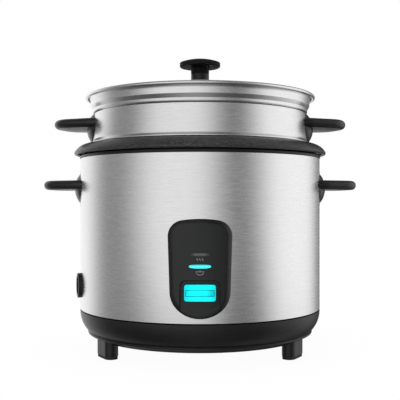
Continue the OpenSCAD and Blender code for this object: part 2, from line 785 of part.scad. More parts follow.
// Liner cup under the collar, open in its middle for the thermostat and the heater's terminals
module inner_liner() {
    flange_r = spigot_in_r - 1;
    wall = concat([[plate_hole_r + 1, liner_z]],
        arc(liner_r - liner_corner_r, liner_z + liner_corner_r, liner_corner_r, -90, 0, 6),
        [[liner_r, collar_web_z - liner_t], [flange_r, collar_web_z - liner_t]]);
    color("lightgray") difference() {
        rotate_extrude() sheet(wall, liner_t);
        for (x = [-1, 1] * terminal_x) translate([x, terminal_y, liner_z - past])
            cylinder(r = bush_r + slip, h = liner_t + 2 * past);
    }
}

// Cast heating plate with a hole for the thermostat and a groove for the element underneath
module heating_plate() {
    edge = 2;
    color("darkgray") rotate_extrude() polygon([
        [plate_hole_r, plate_z], [plate_r - edge, plate_z], [plate_r, plate_z + edge],
        [plate_r, plate_top - edge], [plate_r - edge, plate_top], [plate_hole_r + edge, plate_top],
        [plate_hole_r, plate_top - edge]]);
}

// Posts between the liner's floor and the plate
module heater_posts() {
    color("gray") for (a = [FRONT, FRONT + 120, FRONT + 240]) rotate([0, 0, a])
        translate([post_r, 0, liner_floor_top]) cylinder(d = post_d, h = post_h);
}

// The element's two ends: ceramic bushes through the liner with a metal pin in each
module heater_terminals() {
    color("white") for (x = [-1, 1] * terminal_x) translate([x, terminal_y, 0]) {
        translate([0, 0, liner_z - bush_below]) cylinder(r = bush_r, h = plate_z - liner_z + bush_below);
        translate([0, 0, terminal_z]) cylinder(d = terminal_d, h = terminal_h + bush_below / 2);
    }
}

// Keep-warm heater: an open band round the liner
module keep_warm_band() {
    gap_angle = 30;
    color("tan") rotate([0, 0, FRONT + gap_angle]) rotate_extrude(angle = 360 - 2 * gap_angle)
        translate([liner_r + slip, liner_floor_top + warm_band_up]) square([1.2, warm_band_h]);
}

// Thermal fuse with the clip that holds it under the liner
module thermal_fuse() {
    color("wheat") translate([fuse_at.x, fuse_at.y, fuse_z]) rod_x(2 * fuse_r, -fuse_l / 2, fuse_l / 2);
    color("silver") translate([fuse_at.x, fuse_at.y, 0]) difference() {
        translate([-clip_l / 2, -clip_w / 2, fuse_z]) cube([clip_l, clip_w, liner_z - fuse_z]);
        translate([0, 0, fuse_z]) rod_x(2 * (fuse_r + slip), -clip_l, clip_l);
    }
}

// Guide of the thermostat: a cup with a flange under the plate and an inward floor for the spring
module thermostat_guide() {
    color("silver") rotate_extrude() polygon([
        [guide_hole_r, guide_z], [guide_r, guide_z], [guide_r, plate_z - can_t],
        [plate_hole_r + 6, plate_z - can_t], [plate_hole_r + 6, plate_z],
        [guide_r, plate_z], [guide_r, guide_top], [guide_r - can_t, guide_top],
        [guide_r - can_t, guide_z + can_t], [guide_hole_r, guide_z + can_t]]);
}

// Sprung cap that feels the pot's bottom, with its can
module thermostat_cap() {
    edge = 1;
    color("silver") rotate_extrude() polygon([
        [0, cap_z], [can_r - can_t, cap_z], [can_r - can_t, can_z],
        [can_r, can_z], [can_r, cap_z], [cap_r, cap_z],
        [cap_r, plate_top - edge], [cap_r - edge, plate_top], [0, plate_top]]);
}

// Soft ferrite under the cap, which lets the magnet go when it gets hot
module thermostat_ferrite() {
    color("dimgray") translate([0, 0, ferrite_z]) cylinder(r = can_r - can_t - slip, h = ferrite_h);
}

// Spring between guide and cap: a helix whose ends run straight into their seats
spring_from = guide_z + can_t + slip / 3;
spring_to = cap_z - slip / 3;
spring_path = let (a0 = spring_from + spring_wire, a1 = spring_to - spring_wire, n = spring_turns * 8)
    concat([[spring_r, 0, spring_from]],
        [for (i = [0:n]) let (a = 360 * spring_turns * i / n)
            [spring_r * cos(a), spring_r * sin(a), a0 + (a1 - a0) * i / n]],
        [[spring_r, 0, spring_to]]);
module thermostat_spring() {
    n = len(spring_path) - 2;
    apart = [for (i = [1:n - 8], j = [i + 6:min(i + 10, n)]) norm(spring_path[i] - spring_path[j])];
    echo(least_gap_in_the_spring = min(apart) - spring_wire);
    color("gray") wire(spring_path, spring_wire / 2, 6);
}

// Magnet that the lever lifts to the ferrite
module lift_magnet() {
    color("dimgray") translate([0, 0, magnet_z]) cylinder(r = magnet_r, h = magnet_h);
}

// Rod that stands on the lever's end and carries the magnet
module magnet_rod() {
    foot_r = rod_d / 2;
    color("silver") translate([0, 0, rod_z]) {
        cylinder(r = foot_r, h = magnet_z - rod_z);
        translate([0, 0, magnet_z - rod_z - 1.5]) cylinder(r = foot_r + 3, h = 1.5);
    }
}

// Lever bracket under the liner: two cheeks for the pin, flanges above and a shelf for the switch
module lever_bracket() {
    rear_y = -pivot_y + 10;
    front_y = switch_y - switch_l / 2 - 2;
    shelf_y = switch_y + switch_l / 2 + 4;
    flange_w = 11;
    foot_y = -pivot_y - 10;
    color("gainsboro") difference() {
        union() {
            for (x = [-1, 1] * (bracket_in + bracket_t / 2)) translate([x, 0, 0])
                carry_across(bracket_t) polygon([
                    [rear_y, liner_z], [foot_y, liner_z], [foot_y - 4, pivot_z + arm_boss_r],
                    [front_y, switch_top], [front_y, switch_z - bracket_t],
                    [shelf_y, switch_z - bracket_t], [rear_y, pivot_z - arm_boss_r - 2]]);
            for (x = [-bracket_x - flange_w, bracket_x - bracket_t])
                translate([x, foot_y, liner_z - bracket_t])
                    cube([flange_w + bracket_t, rear_y - foot_y, bracket_t]);
            translate([-bracket_x, front_y, switch_z - bracket_t])
                cube([2 * bracket_x, shelf_y - front_y, bracket_t]);
        }
        translate([0, -pivot_y, pivot_z]) rod_x(pin_d + 2 * pin_gap, -bracket_x - past, bracket_x + past);
    }
}

// Hinge pin of the lever, with a head at each end
module lever_pin() {
    head_t = 1.2;
    head_d = pin_d + 2;
    color("silver") translate([0, -pivot_y, pivot_z]) {
        rod_x(pin_d, -bracket_x - slip, bracket_x + slip);
        rod_x(head_d, -bracket_x - slip - head_t, -bracket_x - slip);
        rod_x(head_d, bracket_x + slip, bracket_x + slip + head_t);
    }
}

// Lever: a bent arm from the key over the pin to the magnet's rod, with a lug over the switch
module lever_arm() {
    low = arm_z - arm_t / 2;
    path = [[key_back_y - key_bite, low], [arm_knee_y, low], [arm_foot_y, pivot_z - arm_t / 2],
        [rod_reach, pivot_z - arm_t / 2]];
    lug_l = 6;
    lug_w = 8;
    color("silver") difference() {
        union() {
            carry_across(arm_w) sheet(path, arm_t);
            translate([0, -pivot_y, pivot_z]) rod_x(2 * arm_boss_r, -arm_w / 2, arm_w / 2);
            translate([-lug_w / 2, switch_y - lug_l / 2, lug_z])
                cube([lug_w, lug_l, lug_drop + button_y / 3]);
        }
        translate([0, -pivot_y, pivot_z]) rod_x(pin_d + 2 * pin_gap, -arm_w, arm_w);
    }
}

// Cook key: a rounded tile with a sunk band, a socket behind for the arm
module cook_key() {
    band_w = key_w - 2.4;
    color("cyan") difference() {
        carry_front(-key_back_y, -key_back_y + key_t)
            translate([0, key_z]) rounded(key_w, key_h, key_corner_r);
        carry_front(-key_back_y + key_t - key_band_depth, -key_back_y + key_t + past)
            translate([0, key_z]) rounded(band_w, key_band_h, key_band_depth);
        carry_front(-key_back_y - past, -key_back_y + key_bite + slip)
            translate([0, arm_z]) square([arm_w + 2 * slip, arm_t + 2 * slip], center = true);
    }
}

// Microswitch on the bracket's shelf, with the well of its button
module microswitch() {
    color([0.2, 0.2, 0.22]) difference() {
        translate([-switch_w / 2, switch_y - switch_l / 2, switch_z]) cube([switch_w, switch_l, switch_h]);
        translate([0, switch_y, button_top - button_l - button_travel - 0.2])
            cylinder(d = button_d + 2 * slip, h = switch_h);
    }
}

module switch_button() {
    color("firebrick") translate([0, switch_y, button_top - button_l]) cylinder(d = button_d, h = button_l);
}

// The panel's outline, drawn in by inset: a round lower end, leaning sides and a flat-arched top
function panel_outline(inset) = concat(
    [for (a = [180:10:360])
        [(panel_low_w / 2 - inset) * cos(a), panel_low_z + (panel_low_h - inset) * sin(a)]],
    arc(panel_corner_x, panel_corner_z, panel_corner_r - inset, 0, panel_corner_a, 6),
    arc(0, panel_top - panel_top_r, panel_top_r - inset, panel_corner_a + 4, 176 - panel_corner_a, 3),
    arc(-panel_corner_x, panel_corner_z, panel_corner_r - inset, 180 - panel_corner_a, 180, 6));

// An outline laid on an upright drum of radius r, or on a flat front where r is 0
function on_drum(outline, r) = [for (p = outline) [p.x, -sqrt(r * r - p.x * p.x), p.y]];
function on_flat(outline, y) = [for (p = outline) [p.x, y, p.y]];

// A solid skinned over loops of equal length
module skin(loops) {
    n = len(loops[0]);
    last = (len(loops) - 1) * n;
    points = [for (loop = loops) each loop];
    walls = [for (i = [0:len(loops) - 2], k = [0:n - 1])
        let (a = i * n + k, b = i * n + (k + 1) % n)
        each [[a, b + n, b], [a, a + n, b + n]]];
    ends = [[for (k = [0:n - 1]) k], [for (k = [n - 1:-1:0]) last + k]];
    polyhedron(points, concat(walls, ends), convexity = 4);
}

// Arched recess round the key, drawn with an open lower end
module arch_drawing() {
    w = arch_w / 2 - arch_r;
    low = arch_bottom - 2 * arch_ramp;
    translate([-arch_w / 2, low]) square([arch_w, arch_top - arch_r - low]);
    translate([-w, arch_bottom]) square([2 * w, arch_top - arch_bottom]);
    for (x = [-w, w]) translate([x, arch_top - arch_r]) circle(arch_r);
}

// What the recess leaves standing: the drum of its floor and a ramp at its lower end
module arch_floor() {
    cylinder(r = arch_floor_r, h = panel_top);
    carry_across(arch_w + 2 * past) polygon([
        [-arch_floor_r + 1, arch_bottom], [-arch_floor_r, arch_bottom],
        [-panel_face_r - past, arch_bottom - arch_ramp], [-panel_face_r - past, arch_bottom - 3 * arch_ramp],
        [-arch_floor_r + 1, arch_bottom - 3 * arch_ramp]]);
}

// Outline of a lens: two shallow arcs with blunt ends, grown by a margin
module lens_drawing(grow) {
    h = lens_h / 2 + grow;
    w = lens_w / 2 + grow;
    r = (w * w + h * h) / (2 * h);
    intersection() {
        translate([0, r - h]) circle(r, $fn = 360);
        translate([0, h - r]) circle(r, $fn = 360);
        square([2 * (w - lens_blunt), 2 * h], center = true);
    }
}

// Holes for the panel's screws, along +X towards the front
module panel_screw_holes(gap, from, to) {
    for (s = PANEL_SCREWS) wall_screw_hole(s.x, panel_z + s.y, gap, from, to);
}

// Control panel: a bevelled shield that follows the shell, with lens windows and the key's recess
module control_panel() {
    edge_r = shell_r + panel_edge_h;
    color([0.18, 0.19, 0.185]) difference() {
        union() {
            intersection() {
                skin([on_flat(panel_outline(0), -shell_r + panel_w / 4), on_drum(panel_outline(0), edge_r),
                    on_drum(panel_outline(panel_bevel_w), panel_face_r + 0.4),
                    on_flat(panel_outline(panel_bevel_w), -panel_face_r - 2)]);
                tube(panel_face_r, panel_back_r, 0, seat_z);
            }
            for (x = [-1, 1] * board_post_x) carry_front(-board_front_y, panel_back_r + panel_edge_h - 0.6)
                translate([x, board_z]) circle(board_post_r);
        }
        difference() {
            carry_front(shell_r - past, panel_face_r + past) arch_drawing();
            arch_floor();
        }
        carry_front(spigot_in_r, panel_face_r + past) {
            for (z = [warm_z, cook_z]) translate([0, z]) lens_drawing(slip);
            translate([-slot_w / 2, slot_bottom]) square([slot_w, slot_top - slot_bottom]);
        }
        carry_front(-board_front_y - past, -board_front_y + 3.4)
            for (x = [-1, 1] * board_post_x) translate([x, board_z]) circle(d = board_screw_d + 2 * pin_gap);
        rotate([0, 0, FRONT]) panel_screw_holes(pin_gap, spigot_in_r, panel_screw_tip + 0.2);
    }
}

panel_screw_tip = sqrt(pow(panel_back_r, 2) - pow(PANEL_SCREWS[2].x, 2)) + panel_screw_bite;
module panel_screws() {
    color("gray") rotate([0, 0, FRONT]) for (s = PANEL_SCREWS)
        wall_screw(shell_in_r, s.x, panel_z + s.y, panel_screw_tip);
}

// A lens: its face follows the panel, and its lip lies behind the panel
module lens(z) {
    intersection() {
        carry_front(lens_back_r, panel_face_r + lens_out) translate([0, z]) lens_drawing(0);
        cylinder(r = panel_face_r + lens_out, h = panel_top);
    }
    carry_front(lens_back_r, lens_lip_r) translate([0, z]) lens_drawing(lens_lip);
}
module warm_lens() color([0.35, 0.37, 0.37]) lens(warm_z);
module cook_lens() color("cyan") lens(cook_z);

// Lamp board on the panel's two posts
module lamp_board() {
    color("darkgreen") difference() {
        carry_front(-board_front_y - board_t, -board_front_y)
            translate([0, board_z]) rounded(board_w, board_h, 1.5);
        carry_front(-board_front_y - board_t - past, -board_front_y + past)
            for (x = [-1, 1] * board_post_x) translate([x, board_z]) circle(d = board_screw_d + 2 * slip);
    }
}

// Lamps on the board, one behind each lens
module indicator_lamps() {
    tip = lens_back_r - seat_gap;
    color("lightcyan") for (z = [warm_z, cook_z]) {
        carry_front(-board_front_y, tip) translate([0, z]) circle(d = lamp_d);
        carry_front(-board_front_y, -board_front_y + 1) translate([0, z]) circle(d = lamp_d + 1);
    }
}

module board_screws() {
    color("gray") for (x = [-1, 1] * board_post_x) translate([x, 0, board_z]) {
        carry_front(-board_front_y - board_t - board_head_h, -board_front_y - board_t) circle(board_head_r);
        carry_front(-board_front_y - board_t - board_head_h / 2, -board_front_y + 3)
            circle(d = board_screw_d);
    }
}

// Round power inlet: a flange on the shell and a socket through it
module inlet_housing() {
    color([0.1, 0.1, 0.1]) rotate([0, 0, inlet_a]) difference() {
        translate([0, 0, inlet_z]) union() {
            difference() {
                rod_x(inlet_flange_d, shell_r - inlet_wall, inlet_face);
                translate([0, 0, -inlet_flange_d]) cylinder(r = shell_r + slip / 3, h = 2 * inlet_flange_d);
            }
            rod_x(inlet_tube_d, inlet_end, inlet_face);
        }
        translate([0, 0, inlet_z]) rod_x(inlet_tube_d - 2 * inlet_wall, inlet_floor, inlet_face + past);
        for (c = CONTACTS) translate([0, c.x, inlet_z + c.y])
            rod_x(contact_d + 2 * pin_gap, inlet_end - past, inlet_face);
    }
}

module inlet_pins() {
    color("gold") rotate([0, 0, inlet_a]) for (c = CONTACTS) translate([0, c.x, inlet_z + c.y])
        rod_x(contact_d, contact_end, contact_tip);
}

// Ring nut that holds the inlet from inside the shell
module inlet_nut() {
    face = sqrt(pow(shell_in_r, 2) - pow(inlet_nut_r, 2)) - slip / 3;
    color("gray") rotate([0, 0, inlet_a]) translate([0, 0, inlet_z]) difference() {
        rod_x(2 * inlet_nut_r, face - inlet_nut_t, face);
        rod_x(inlet_tube_d + 2 * pin_gap, face - inlet_nut_t - past, face + past);
    }
}

// Inner wires: earth to the liner, live to the fuse and on to the heater, and the return
module wiring() {
    r = wire_d / 2;
    into = -seat_gap * [cos(inlet_a), sin(inlet_a), 0];
    function ends(k) = [tail(k) + into, tail(k) + 3 * wire_d * into / norm(into)];
    function under(x) = [[x, terminal_y, terminal_z - 2 * wire_d], [x, terminal_y, terminal_z - seat_gap]];
    earth_end = [[-84, -20, liner_z - 1.5 * wire_d], [-84, -20, liner_z - seat_gap]];
    function fuse_end(s) = [fuse_at.x + s * (fuse_l / 2 + seat_gap), fuse_at.y, fuse_z];
    color("orangered") {
        wire(spline(concat(ends(0), EARTH_WIRE, earth_end), 3), r, 6);
        wire(spline(concat(ends(2), FUSE_WIRE, [fuse_end(-1) - [2 * wire_d, 0, 0], fuse_end(-1)]), 3), r, 6);
        wire(spline(concat([fuse_end(1)], LINK_WIRE, under(-terminal_x)), 3), r, 6);
        wire(spline(concat(ends(1), RETURN_WIRE, under(terminal_x)), 3), r, 6);
    }
}

// Inner pot: a deep cup whose rim domes over the collar and ends in a rolled edge
module inner_pot() {
    dome_z = pot_rest_z - rim_dome_r;
    path = concat([[0, pot_z]],
        arc(pot_r - pot_corner_r, pot_z + pot_corner_r, pot_corner_r, -90, 0, 10),
        arc(pot_r + pot_neck_r, pot_rest_z - pot_neck_r, pot_neck_r, 180, 90, 4),
        arc(rim_flat_r, dome_z, rim_dome_r, 90, rim_end_angle, 12));
    color([0.26, 0.26, 0.27]) {
        rotate_extrude() sheet(path, pot_t);
        rotate_extrude() translate([rim_flat_r, dome_z])
            translate(rim_dome_r * [cos(rim_end_angle), sin(rim_end_angle)]) circle(rim_roll_r);
    }
}

// Outside of the steamer from its floor up: skirt, shoulder, foot, beaded wall, cove, neck and flare
neck_z = ledge_z + cove_r + neck_edge_r;
neck_top = neck_z + neck_h;
flare_end = [neck_r + flare_r * (1 - cos(flare_angle)), neck_top + flare_r * sin(flare_angle)];
// The bead is an arc of this radius, less than half round
bead_r = 2.4 * bead_out;
bead_a = acos(1 - bead_out / bead_r);
bead_z = ledge_z - 1.45 * bead_r;
// Radius of the spread foot's edge, and the level where the wall is upright again
foot_edge_r = 1.4;
foot_top = shoulder_z + 3 * foot_edge_r;
// The rim's edge curls outwards and down round this radius
curl_in_r = steamer_roll_r - steamer_t;
skirt_corner_r = 3;
curl_mid = flare_end + curl_in_r * [cos(flare_angle), -sin(flare_angle)];
function rim_curl() = arc(curl_mid.x, curl_mid.y, curl_in_r, 150 - flare_angle, -60 - flare_angle, 7);
function steamer_outside() = concat([[0, steamer_floor_z]],
    arc(skirt_r - skirt_corner_r, steamer_floor_z + skirt_corner_r, skirt_corner_r, -90, 0, 4),
    [[skirt_r, shoulder_z]],
    arc(steamer_r + steamer_foot_out - foot_edge_r, shoulder_z + foot_edge_r, foot_edge_r, -90, 25, 5),
    [[steamer_r, foot_top]],
    arc(steamer_r + bead_out - bead_r, bead_z, bead_r, -bead_a, bead_a, 5),
    arc(steamer_r + cove_r, ledge_z, cove_r, 180, 90, 4),
    arc(neck_r - neck_edge_r, neck_z, neck_edge_r, -67.5, 0, 3),
    arc(neck_r + flare_r, neck_top, flare_r, 180, 180 - flare_angle, 6),
    rim_curl());

// Steamer: one spun sheet with a rolled rim and rings of steam holes in its floor
module steamer_basket() {
    color("gainsboro") difference() {
        rotate_extrude() sheet(steamer_outside(), steamer_t);
        translate([0, 0, steamer_floor_z - past]) linear_extrude(steamer_t + 2 * past)
            for (ring = [0:hole_rings]) for (i = [0:max(6 * ring, 1) - 1])
                rotate(360 * i / max(6 * ring, 1)) translate([ring * hole_pitch, 0]) circle(d = hole_d);
        for (side = [LEFT, RIGHT]) rotate([0, 0, side])
            handle_screw_holes(steamer_screw_z, slip, steamer_r - 8, steamer_r + past);
    }
}

// Room for the wall's foot and bead in the steamer's handles
module wall_room() {
    half = bead_r * sin(bead_a) + slip;
    translate([0, 0, bead_z - half]) cylinder(r = steamer_r + bead_out + slip, h = 2 * half);
    translate([0, 0, shoulder_z - foot_edge_r])
        cylinder(r = steamer_r + steamer_foot_out + slip, h = foot_top - shoulder_z + foot_edge_r + slip);
}
module steamer_handle() handle(steamer_r, steamer_handle_reach, steamer_handle_z, steamer_rosette_out,
    steamer_rosette_h, steamer_rosette_drop) wall_room();
module steamer_handle_left() rotate([0, 0, LEFT]) steamer_handle();
module steamer_handle_right() rotate([0, 0, RIGHT]) steamer_handle();
module steamer_handle_screws() handle_screws(steamer_r, steamer_r - steamer_t, steamer_screw_z);

// Lid: a glass dome whose edge sits in a steel band
band_r = neck_r - steamer_t - lid_play;
glass_r = band_r - band_t - slip;
glass_z = lid_z + band_t + slip / 3;
dome_r = (glass_r * glass_r + glass_rise * glass_rise) / (2 * glass_rise);
dome_mid = glass_z - sqrt(pow(dome_r - glass_t, 2) - glass_r * glass_r);
glass_top = dome_mid + dome_r;
vent_tilt = asin(vent_x / dome_r);

// Half section of the glass, grown by a margin
module glass_section(grow) {
    intersection() {
        difference() {
            translate([0, dome_mid]) circle(dome_r + grow, $fn = 360);
            translate([0, dome_mid]) circle(dome_r - glass_t - grow, $fn = 360);
        }
        translate([0, lid_z]) square([glass_r + grow, glass_top]);
    }
}

// Something set square on the dome where the steam vent is
module at_vent() translate([0, 0, dome_mid]) rotate([0, vent_tilt, 0]) translate([0, 0, dome_r]) children();

module lid_glass() {
    color([0.75, 0.85, 0.85, 0.4]) difference() {
        rotate_extrude() glass_section(0);
        translate([0, 0, glass_top - 2 * glass_t]) cylinder(d = knob_screw_d + 4 * slip, h = 3 * glass_t);
        at_vent() translate([0, 0, -2 * glass_t]) cylinder(d = vent_d + 2 * slip, h = 3 * glass_t);
    }
}

module lid_band() {
    top = dome_mid + sqrt(dome_r * dome_r - pow(glass_r - band_w, 2)) + band_t;
    color("silver") rotate_extrude() difference() {
        polygon([[band_r - band_w, lid_z], [band_r, lid_z], [band_r, top - glass_t / 2],
            [band_r - band_t, top - 0.6], [band_r - band_w, top]]);
        glass_section(slip / 3);
    }
}

// Steam vent: a metal eyelet through the glass
module vent_grommet() {
    lip = 1.6;
    lip_t = 0.8;
    color("silver") at_vent() difference() {
        union() {
            translate([0, 0, -glass_t - lip_t]) cylinder(d = vent_d, h = glass_t + 2 * lip_t);
            translate([0, 0, 0.1]) cylinder(d = vent_d + 2 * lip, h = lip_t);
            translate([0, 0, -glass_t - 0.1 - lip_t]) cylinder(d = vent_d + 2 * lip, h = lip_t);
        }
        translate([0, 0, -2 * glass_t]) cylinder(d = vent_d - 2 * lip_t, h = 3 * glass_t);
    }
}

// Knob and what fastens it: collar and gaskets on the glass, one screw from below
collar_foot_z = glass_top + gasket_t;
stem_z = collar_foot_z + knob_collar_h;
cap_low_z = stem_z + stem_h;
screw_end_z = stem_z + stem_h / 2;
head_top_z = glass_top - glass_t - gasket_t - 0.3;
knob_head_r = knob_screw_d * 1.2;
knob_head_h = 2.6;

module knob_collar() {
    r = stem_d / 2;
    color([0.15, 0.15, 0.15]) rotate_extrude() polygon(concat(
        [[knob_screw_d / 2 + slip, collar_foot_z], [r + knob_collar_flare, collar_foot_z]],
        arc(r + knob_collar_flare, collar_foot_z + 1 + knob_collar_flare, knob_collar_flare, -90, -180, 6),
        [[r, stem_z - 0.5], [r - 0.5, stem_z], [knob_screw_d / 2 + slip, stem_z]]));
}

// Mushroom knob: stem, undercut cap, upright edge and a low crown
module lid_knob() {
    r = knob_d / 2;
    crown_r = (r * r + knob_crown_h * knob_crown_h) / (2 * knob_crown_h);
    crown_a = asin((r - 0.8) / crown_r);
    crown_z = cap_low_z + knob_edge_h + knob_crown_h - crown_r;
    fillet = 2;
    color([0.15, 0.15, 0.15]) difference() {
        rotate_extrude() polygon(concat(
            [[0, stem_z], [stem_d / 2 - 0.5, stem_z], [stem_d / 2, stem_z + 0.5]],
            arc(stem_d / 2 + fillet, cap_low_z - fillet, fillet, 180, 90, 4),
            [[r - 1, cap_low_z], [r, cap_low_z + 1], [r, cap_low_z + knob_edge_h - 0.5]],
            arc(0, crown_z, crown_r, 90 - crown_a, 90, 12)));
        translate([0, 0, stem_z - past])
            cylinder(d = knob_screw_d + 2 * pin_gap, h = screw_end_z - stem_z + past + 0.5);
    }
}

module knob_screw() {
    color("silver") {
        translate([0, 0, head_top_z - knob_head_h]) cylinder(r = knob_head_r, h = knob_head_h);
        translate([0, 0, head_top_z - past]) cylinder(d = knob_screw_d, h = screw_end_z - head_top_z + past);
    }
}

// Silicone gaskets over and under the glass
module knob_gaskets() {
    hole_r = knob_screw_d / 2 + slip;
    color("whitesmoke") {
        tube(stem_d / 2 + knob_collar_flare - 0.4, hole_r, glass_top, collar_foot_z);
        tube(knob_head_r + 1, hole_r, head_top_z, head_top_z + gasket_t);
    }
}

outer_shell();
top_collar();
base_ring();
bottom_cover();
foot_pads();
base_screws();
body_handle_left();
body_handle_right();
body_handle_screws();
inner_liner();
heating_plate();
heater_posts();
heater_terminals();
keep_warm_band();
thermal_fuse();
thermostat_guide();
thermostat_cap();
thermostat_ferrite();
thermostat_spring();
lift_magnet();
magnet_rod();
lever_bracket();
lever_pin();
lever_arm();
cook_key();
microswitch();
switch_button();
control_panel();
panel_screws();
warm_lens();
cook_lens();
lamp_board();
indicator_lamps();
board_screws();
inlet_housing();
inlet_pins();
inlet_nut();
wiring();
inner_pot();
steamer_basket();
steamer_handle_left();
steamer_handle_right();
steamer_handle_screws();
lid_glass();
lid_band();
lid_knob();
knob_collar();
knob_screw();
knob_gaskets();
vent_grommet();
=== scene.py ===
import math

import bpy
import numpy as np
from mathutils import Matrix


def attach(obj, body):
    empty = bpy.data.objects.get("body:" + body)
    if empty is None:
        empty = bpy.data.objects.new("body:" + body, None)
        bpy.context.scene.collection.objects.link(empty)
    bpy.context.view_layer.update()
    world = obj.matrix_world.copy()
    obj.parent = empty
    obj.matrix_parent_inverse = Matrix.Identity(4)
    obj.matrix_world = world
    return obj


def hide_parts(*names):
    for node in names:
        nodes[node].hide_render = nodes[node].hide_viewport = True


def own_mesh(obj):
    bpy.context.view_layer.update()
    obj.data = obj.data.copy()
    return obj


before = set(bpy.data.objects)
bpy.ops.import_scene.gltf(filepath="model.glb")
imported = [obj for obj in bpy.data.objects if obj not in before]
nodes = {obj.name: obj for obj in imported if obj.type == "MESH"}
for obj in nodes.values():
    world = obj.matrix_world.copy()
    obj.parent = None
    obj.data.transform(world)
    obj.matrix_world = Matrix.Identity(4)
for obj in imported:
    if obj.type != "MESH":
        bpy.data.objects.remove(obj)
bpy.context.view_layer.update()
scene = bpy.context.scene

# Sizes in millimetres and degrees: those of the part's source, with the finer forms that only these surfaces have
MM = 0.001
MERGE_STEPS = 500  # in a millimetre: points on the same step become one
WALL_GAP = 0.15

# Shell, base and collar
SHELL_R, SHELL_T, SHELL_Z, SHELL_TOP, SHELL_EDGE_R = 130, 0.8, 46, 205.8, 0.25
SPIGOT_R, SPIGOT_IN_R, SPIGOT_H = 129.05, 126.65, 7
COLLAR_LIP_R, COLLAR_LIP_Z, COLLAR_TOP_R, COLLAR_SEAT_R = 130.5, 209.3, 127.6, 121.45
COLLAR_IN_R, COLLAR_WEB_Z, COLLAR_LOW_Z, COLLAR_GAP, SEAT_Z = 117.8, 203, 198.8, 0.1, 219
COLLAR_EDGES = [0.3, 1.0, 0.6, 0.9, 0.4, 0.5, 0.3, 0.3, 0.3, 0.1]
BASE_Z, BASE_BAND_Z, BASE_FLANGE_R, PLASTIC_T = 21.5, 44, 99, 2.4
BASE_ELLIPSE = (23.478, 27.0)
BASE_SWEEP_H, BASE_LIP_R, BASE_LIP_Z, BASE_LIP_H, BASE_LIP_T, BASE_LIP_EDGE_R = 22.5, 121.7, 19.6, 3.4, 2.1, 1.5
BASE_LINE_H, BASE_LINE_DEPTH = 1.2, 2.0
BASE_TOP_EDGE = [(0, 0.3), (0.1, 0.05), (0.3, 0)]  # in from the shell's radius, and down from the line

# Pot, steamer, knob and handles
POT_R, POT_T, POT_Z, POT_REST_Z, POT_CORNER_R, POT_NECK_R = 112, 2, 96, 219.3, 18, 1.5
RIM_FLAT_R, RIM_DOME_R, RIM_END_ANGLE, RIM_ROLL_R = 121.6, 14.6, 28, 1.9
STEAMER_R, STEAMER_T, SKIRT_R, SKIRT_CORNER_R, NECK_R = 115.1, 1.2, 108.6, 3, 119.1
STEAMER_FLOOR_Z, SHOULDER_Z, FOOT_TOP, NECK_TOP = 204.8, 221.6, 225.8, 266.7
WALL_LEAN, FOOT_OUT, FOOT_EDGE_R, FOOT_SLOPE, FOOT_BEND_R = 1.4, 1.2, 1.4, 25, 4
BEAD_Z, BEAD_OUT, BEAD_R = 256.8, 1.8, 3.4
COVE_X, COVE_R, COVE_ANGLE, NECK_EDGE_R = 116.75, 2, 30.5, 1.4
FLARE_R, FLARE_ANGLE, CURL_R, CURL_TURN = 6.1, 65, 0.8, 240
HOLE_PITCH, HOLE_R, HOLE_RINGS, FIRST_RING_HOLES = 26, 3.5, 3, 6
STEM_R, STEM_Z, STEM_EDGE_R, STEM_FILLET_R = 9.9, 300.11, 0.4, 2
CAP_LOW_Z, KNOB_R, KNOB_EDGE_H, KNOB_CROWN_H, KNOB_LOW_R, KNOB_TOP_R = 307.51, 22.2, 4.9, 4, 1.4, 0.6
KNOB_FOOT_Z, KNOB_FOOT_H, KNOB_FOOT_FLARE, KNOB_FOOT_EDGE_R, KNOB_BORE_R = 290.11, 1, 2.4, 0.3, 2.65
HANDLE_T, HANDLE_R, HANDLE_TIP_R, ROSETTE_IN = 9.9, 37, 27, 8
BODY_HANDLE_Z, BODY_HANDLE_REACH, BODY_BELLY = 177.7, 41, 0.9
BODY_ROSETTE, BODY_ROSETTE_DROP = (14.4, 37, 20.2), 3.6
STEAMER_HANDLE_Z, STEAMER_HANDLE_REACH, STEAMER_BELLY = 243.8, 44.4, 2.4
STEAMER_ROSETTE, STEAMER_ROSETTE_DROP = (16.4, 36, 20.5), 5.2

# Panel, lenses, key and printed marks
PANEL_BACK_R, PANEL_EDGE_R, PANEL_FACE_R = 130.15, 131.2, 133.8
PANEL_LOW_W, PANEL_LOW_H, PANEL_LOW_Z, PANEL_TOP = 56.9, 25.2, 75.8, 143.6
PANEL_CORNER_R, PANEL_TOP_HALF_W, PANEL_TOP_R, PANEL_BEVEL, PANEL_FOOT_DROP = 15, 30.1, 113.64, 5.6, 0.9
PANEL_SPINE = (80, 118)
ARCH_HALF_W, ARCH_TOP, ARCH_R, ARCH_DEPTH, ARCH_EDGE = 18.75, 86.75, 5.5, 2.8, (-0.1, 0.5)
WARM_Z, COOK_Z, LENS_HALF_W, LENS_HALF_H, LENS_OUT, LENS_IN = 111.1, 99.8, 10.2, 1.9, 0.4, 0.6
KEY_Z, KEY_HALF_W, KEY_HALF_H, KEY_CORNER_R, KEY_BACK_Y, KEY_FRONT_Y = 75.2, 14.6, 7.6, 2.2, -132.2, -135.4
KEY_BAND_HALF_W, KEY_BAND_HALF_H, KEY_BAND_DEPTH, KEY_BAND_EDGE = 13.4, 2.9, 0.9, (-0.3, 0.5)
KEY_ROUND = np.array([0, 0.06, 0.23, 0.5, 0.8])  # in from the front edge; read backwards, back from the front
MARK_W, MARK_OUT = 0.55, 0.03
WAVE_X, WAVE_Z, WAVE_H, WAVE_SWING = (-2.4, 0, 2.4), 104.9, 2.5, 0.45
PAN_Z, PAN_R, PAN_FLAT, PAN_LID_Z, PAN_LID_W, PAN_KNOB_Z, PAN_KNOB_W = 94.2, 3.2, 0.72, 94.9, 8.4, 95.7, 1.6

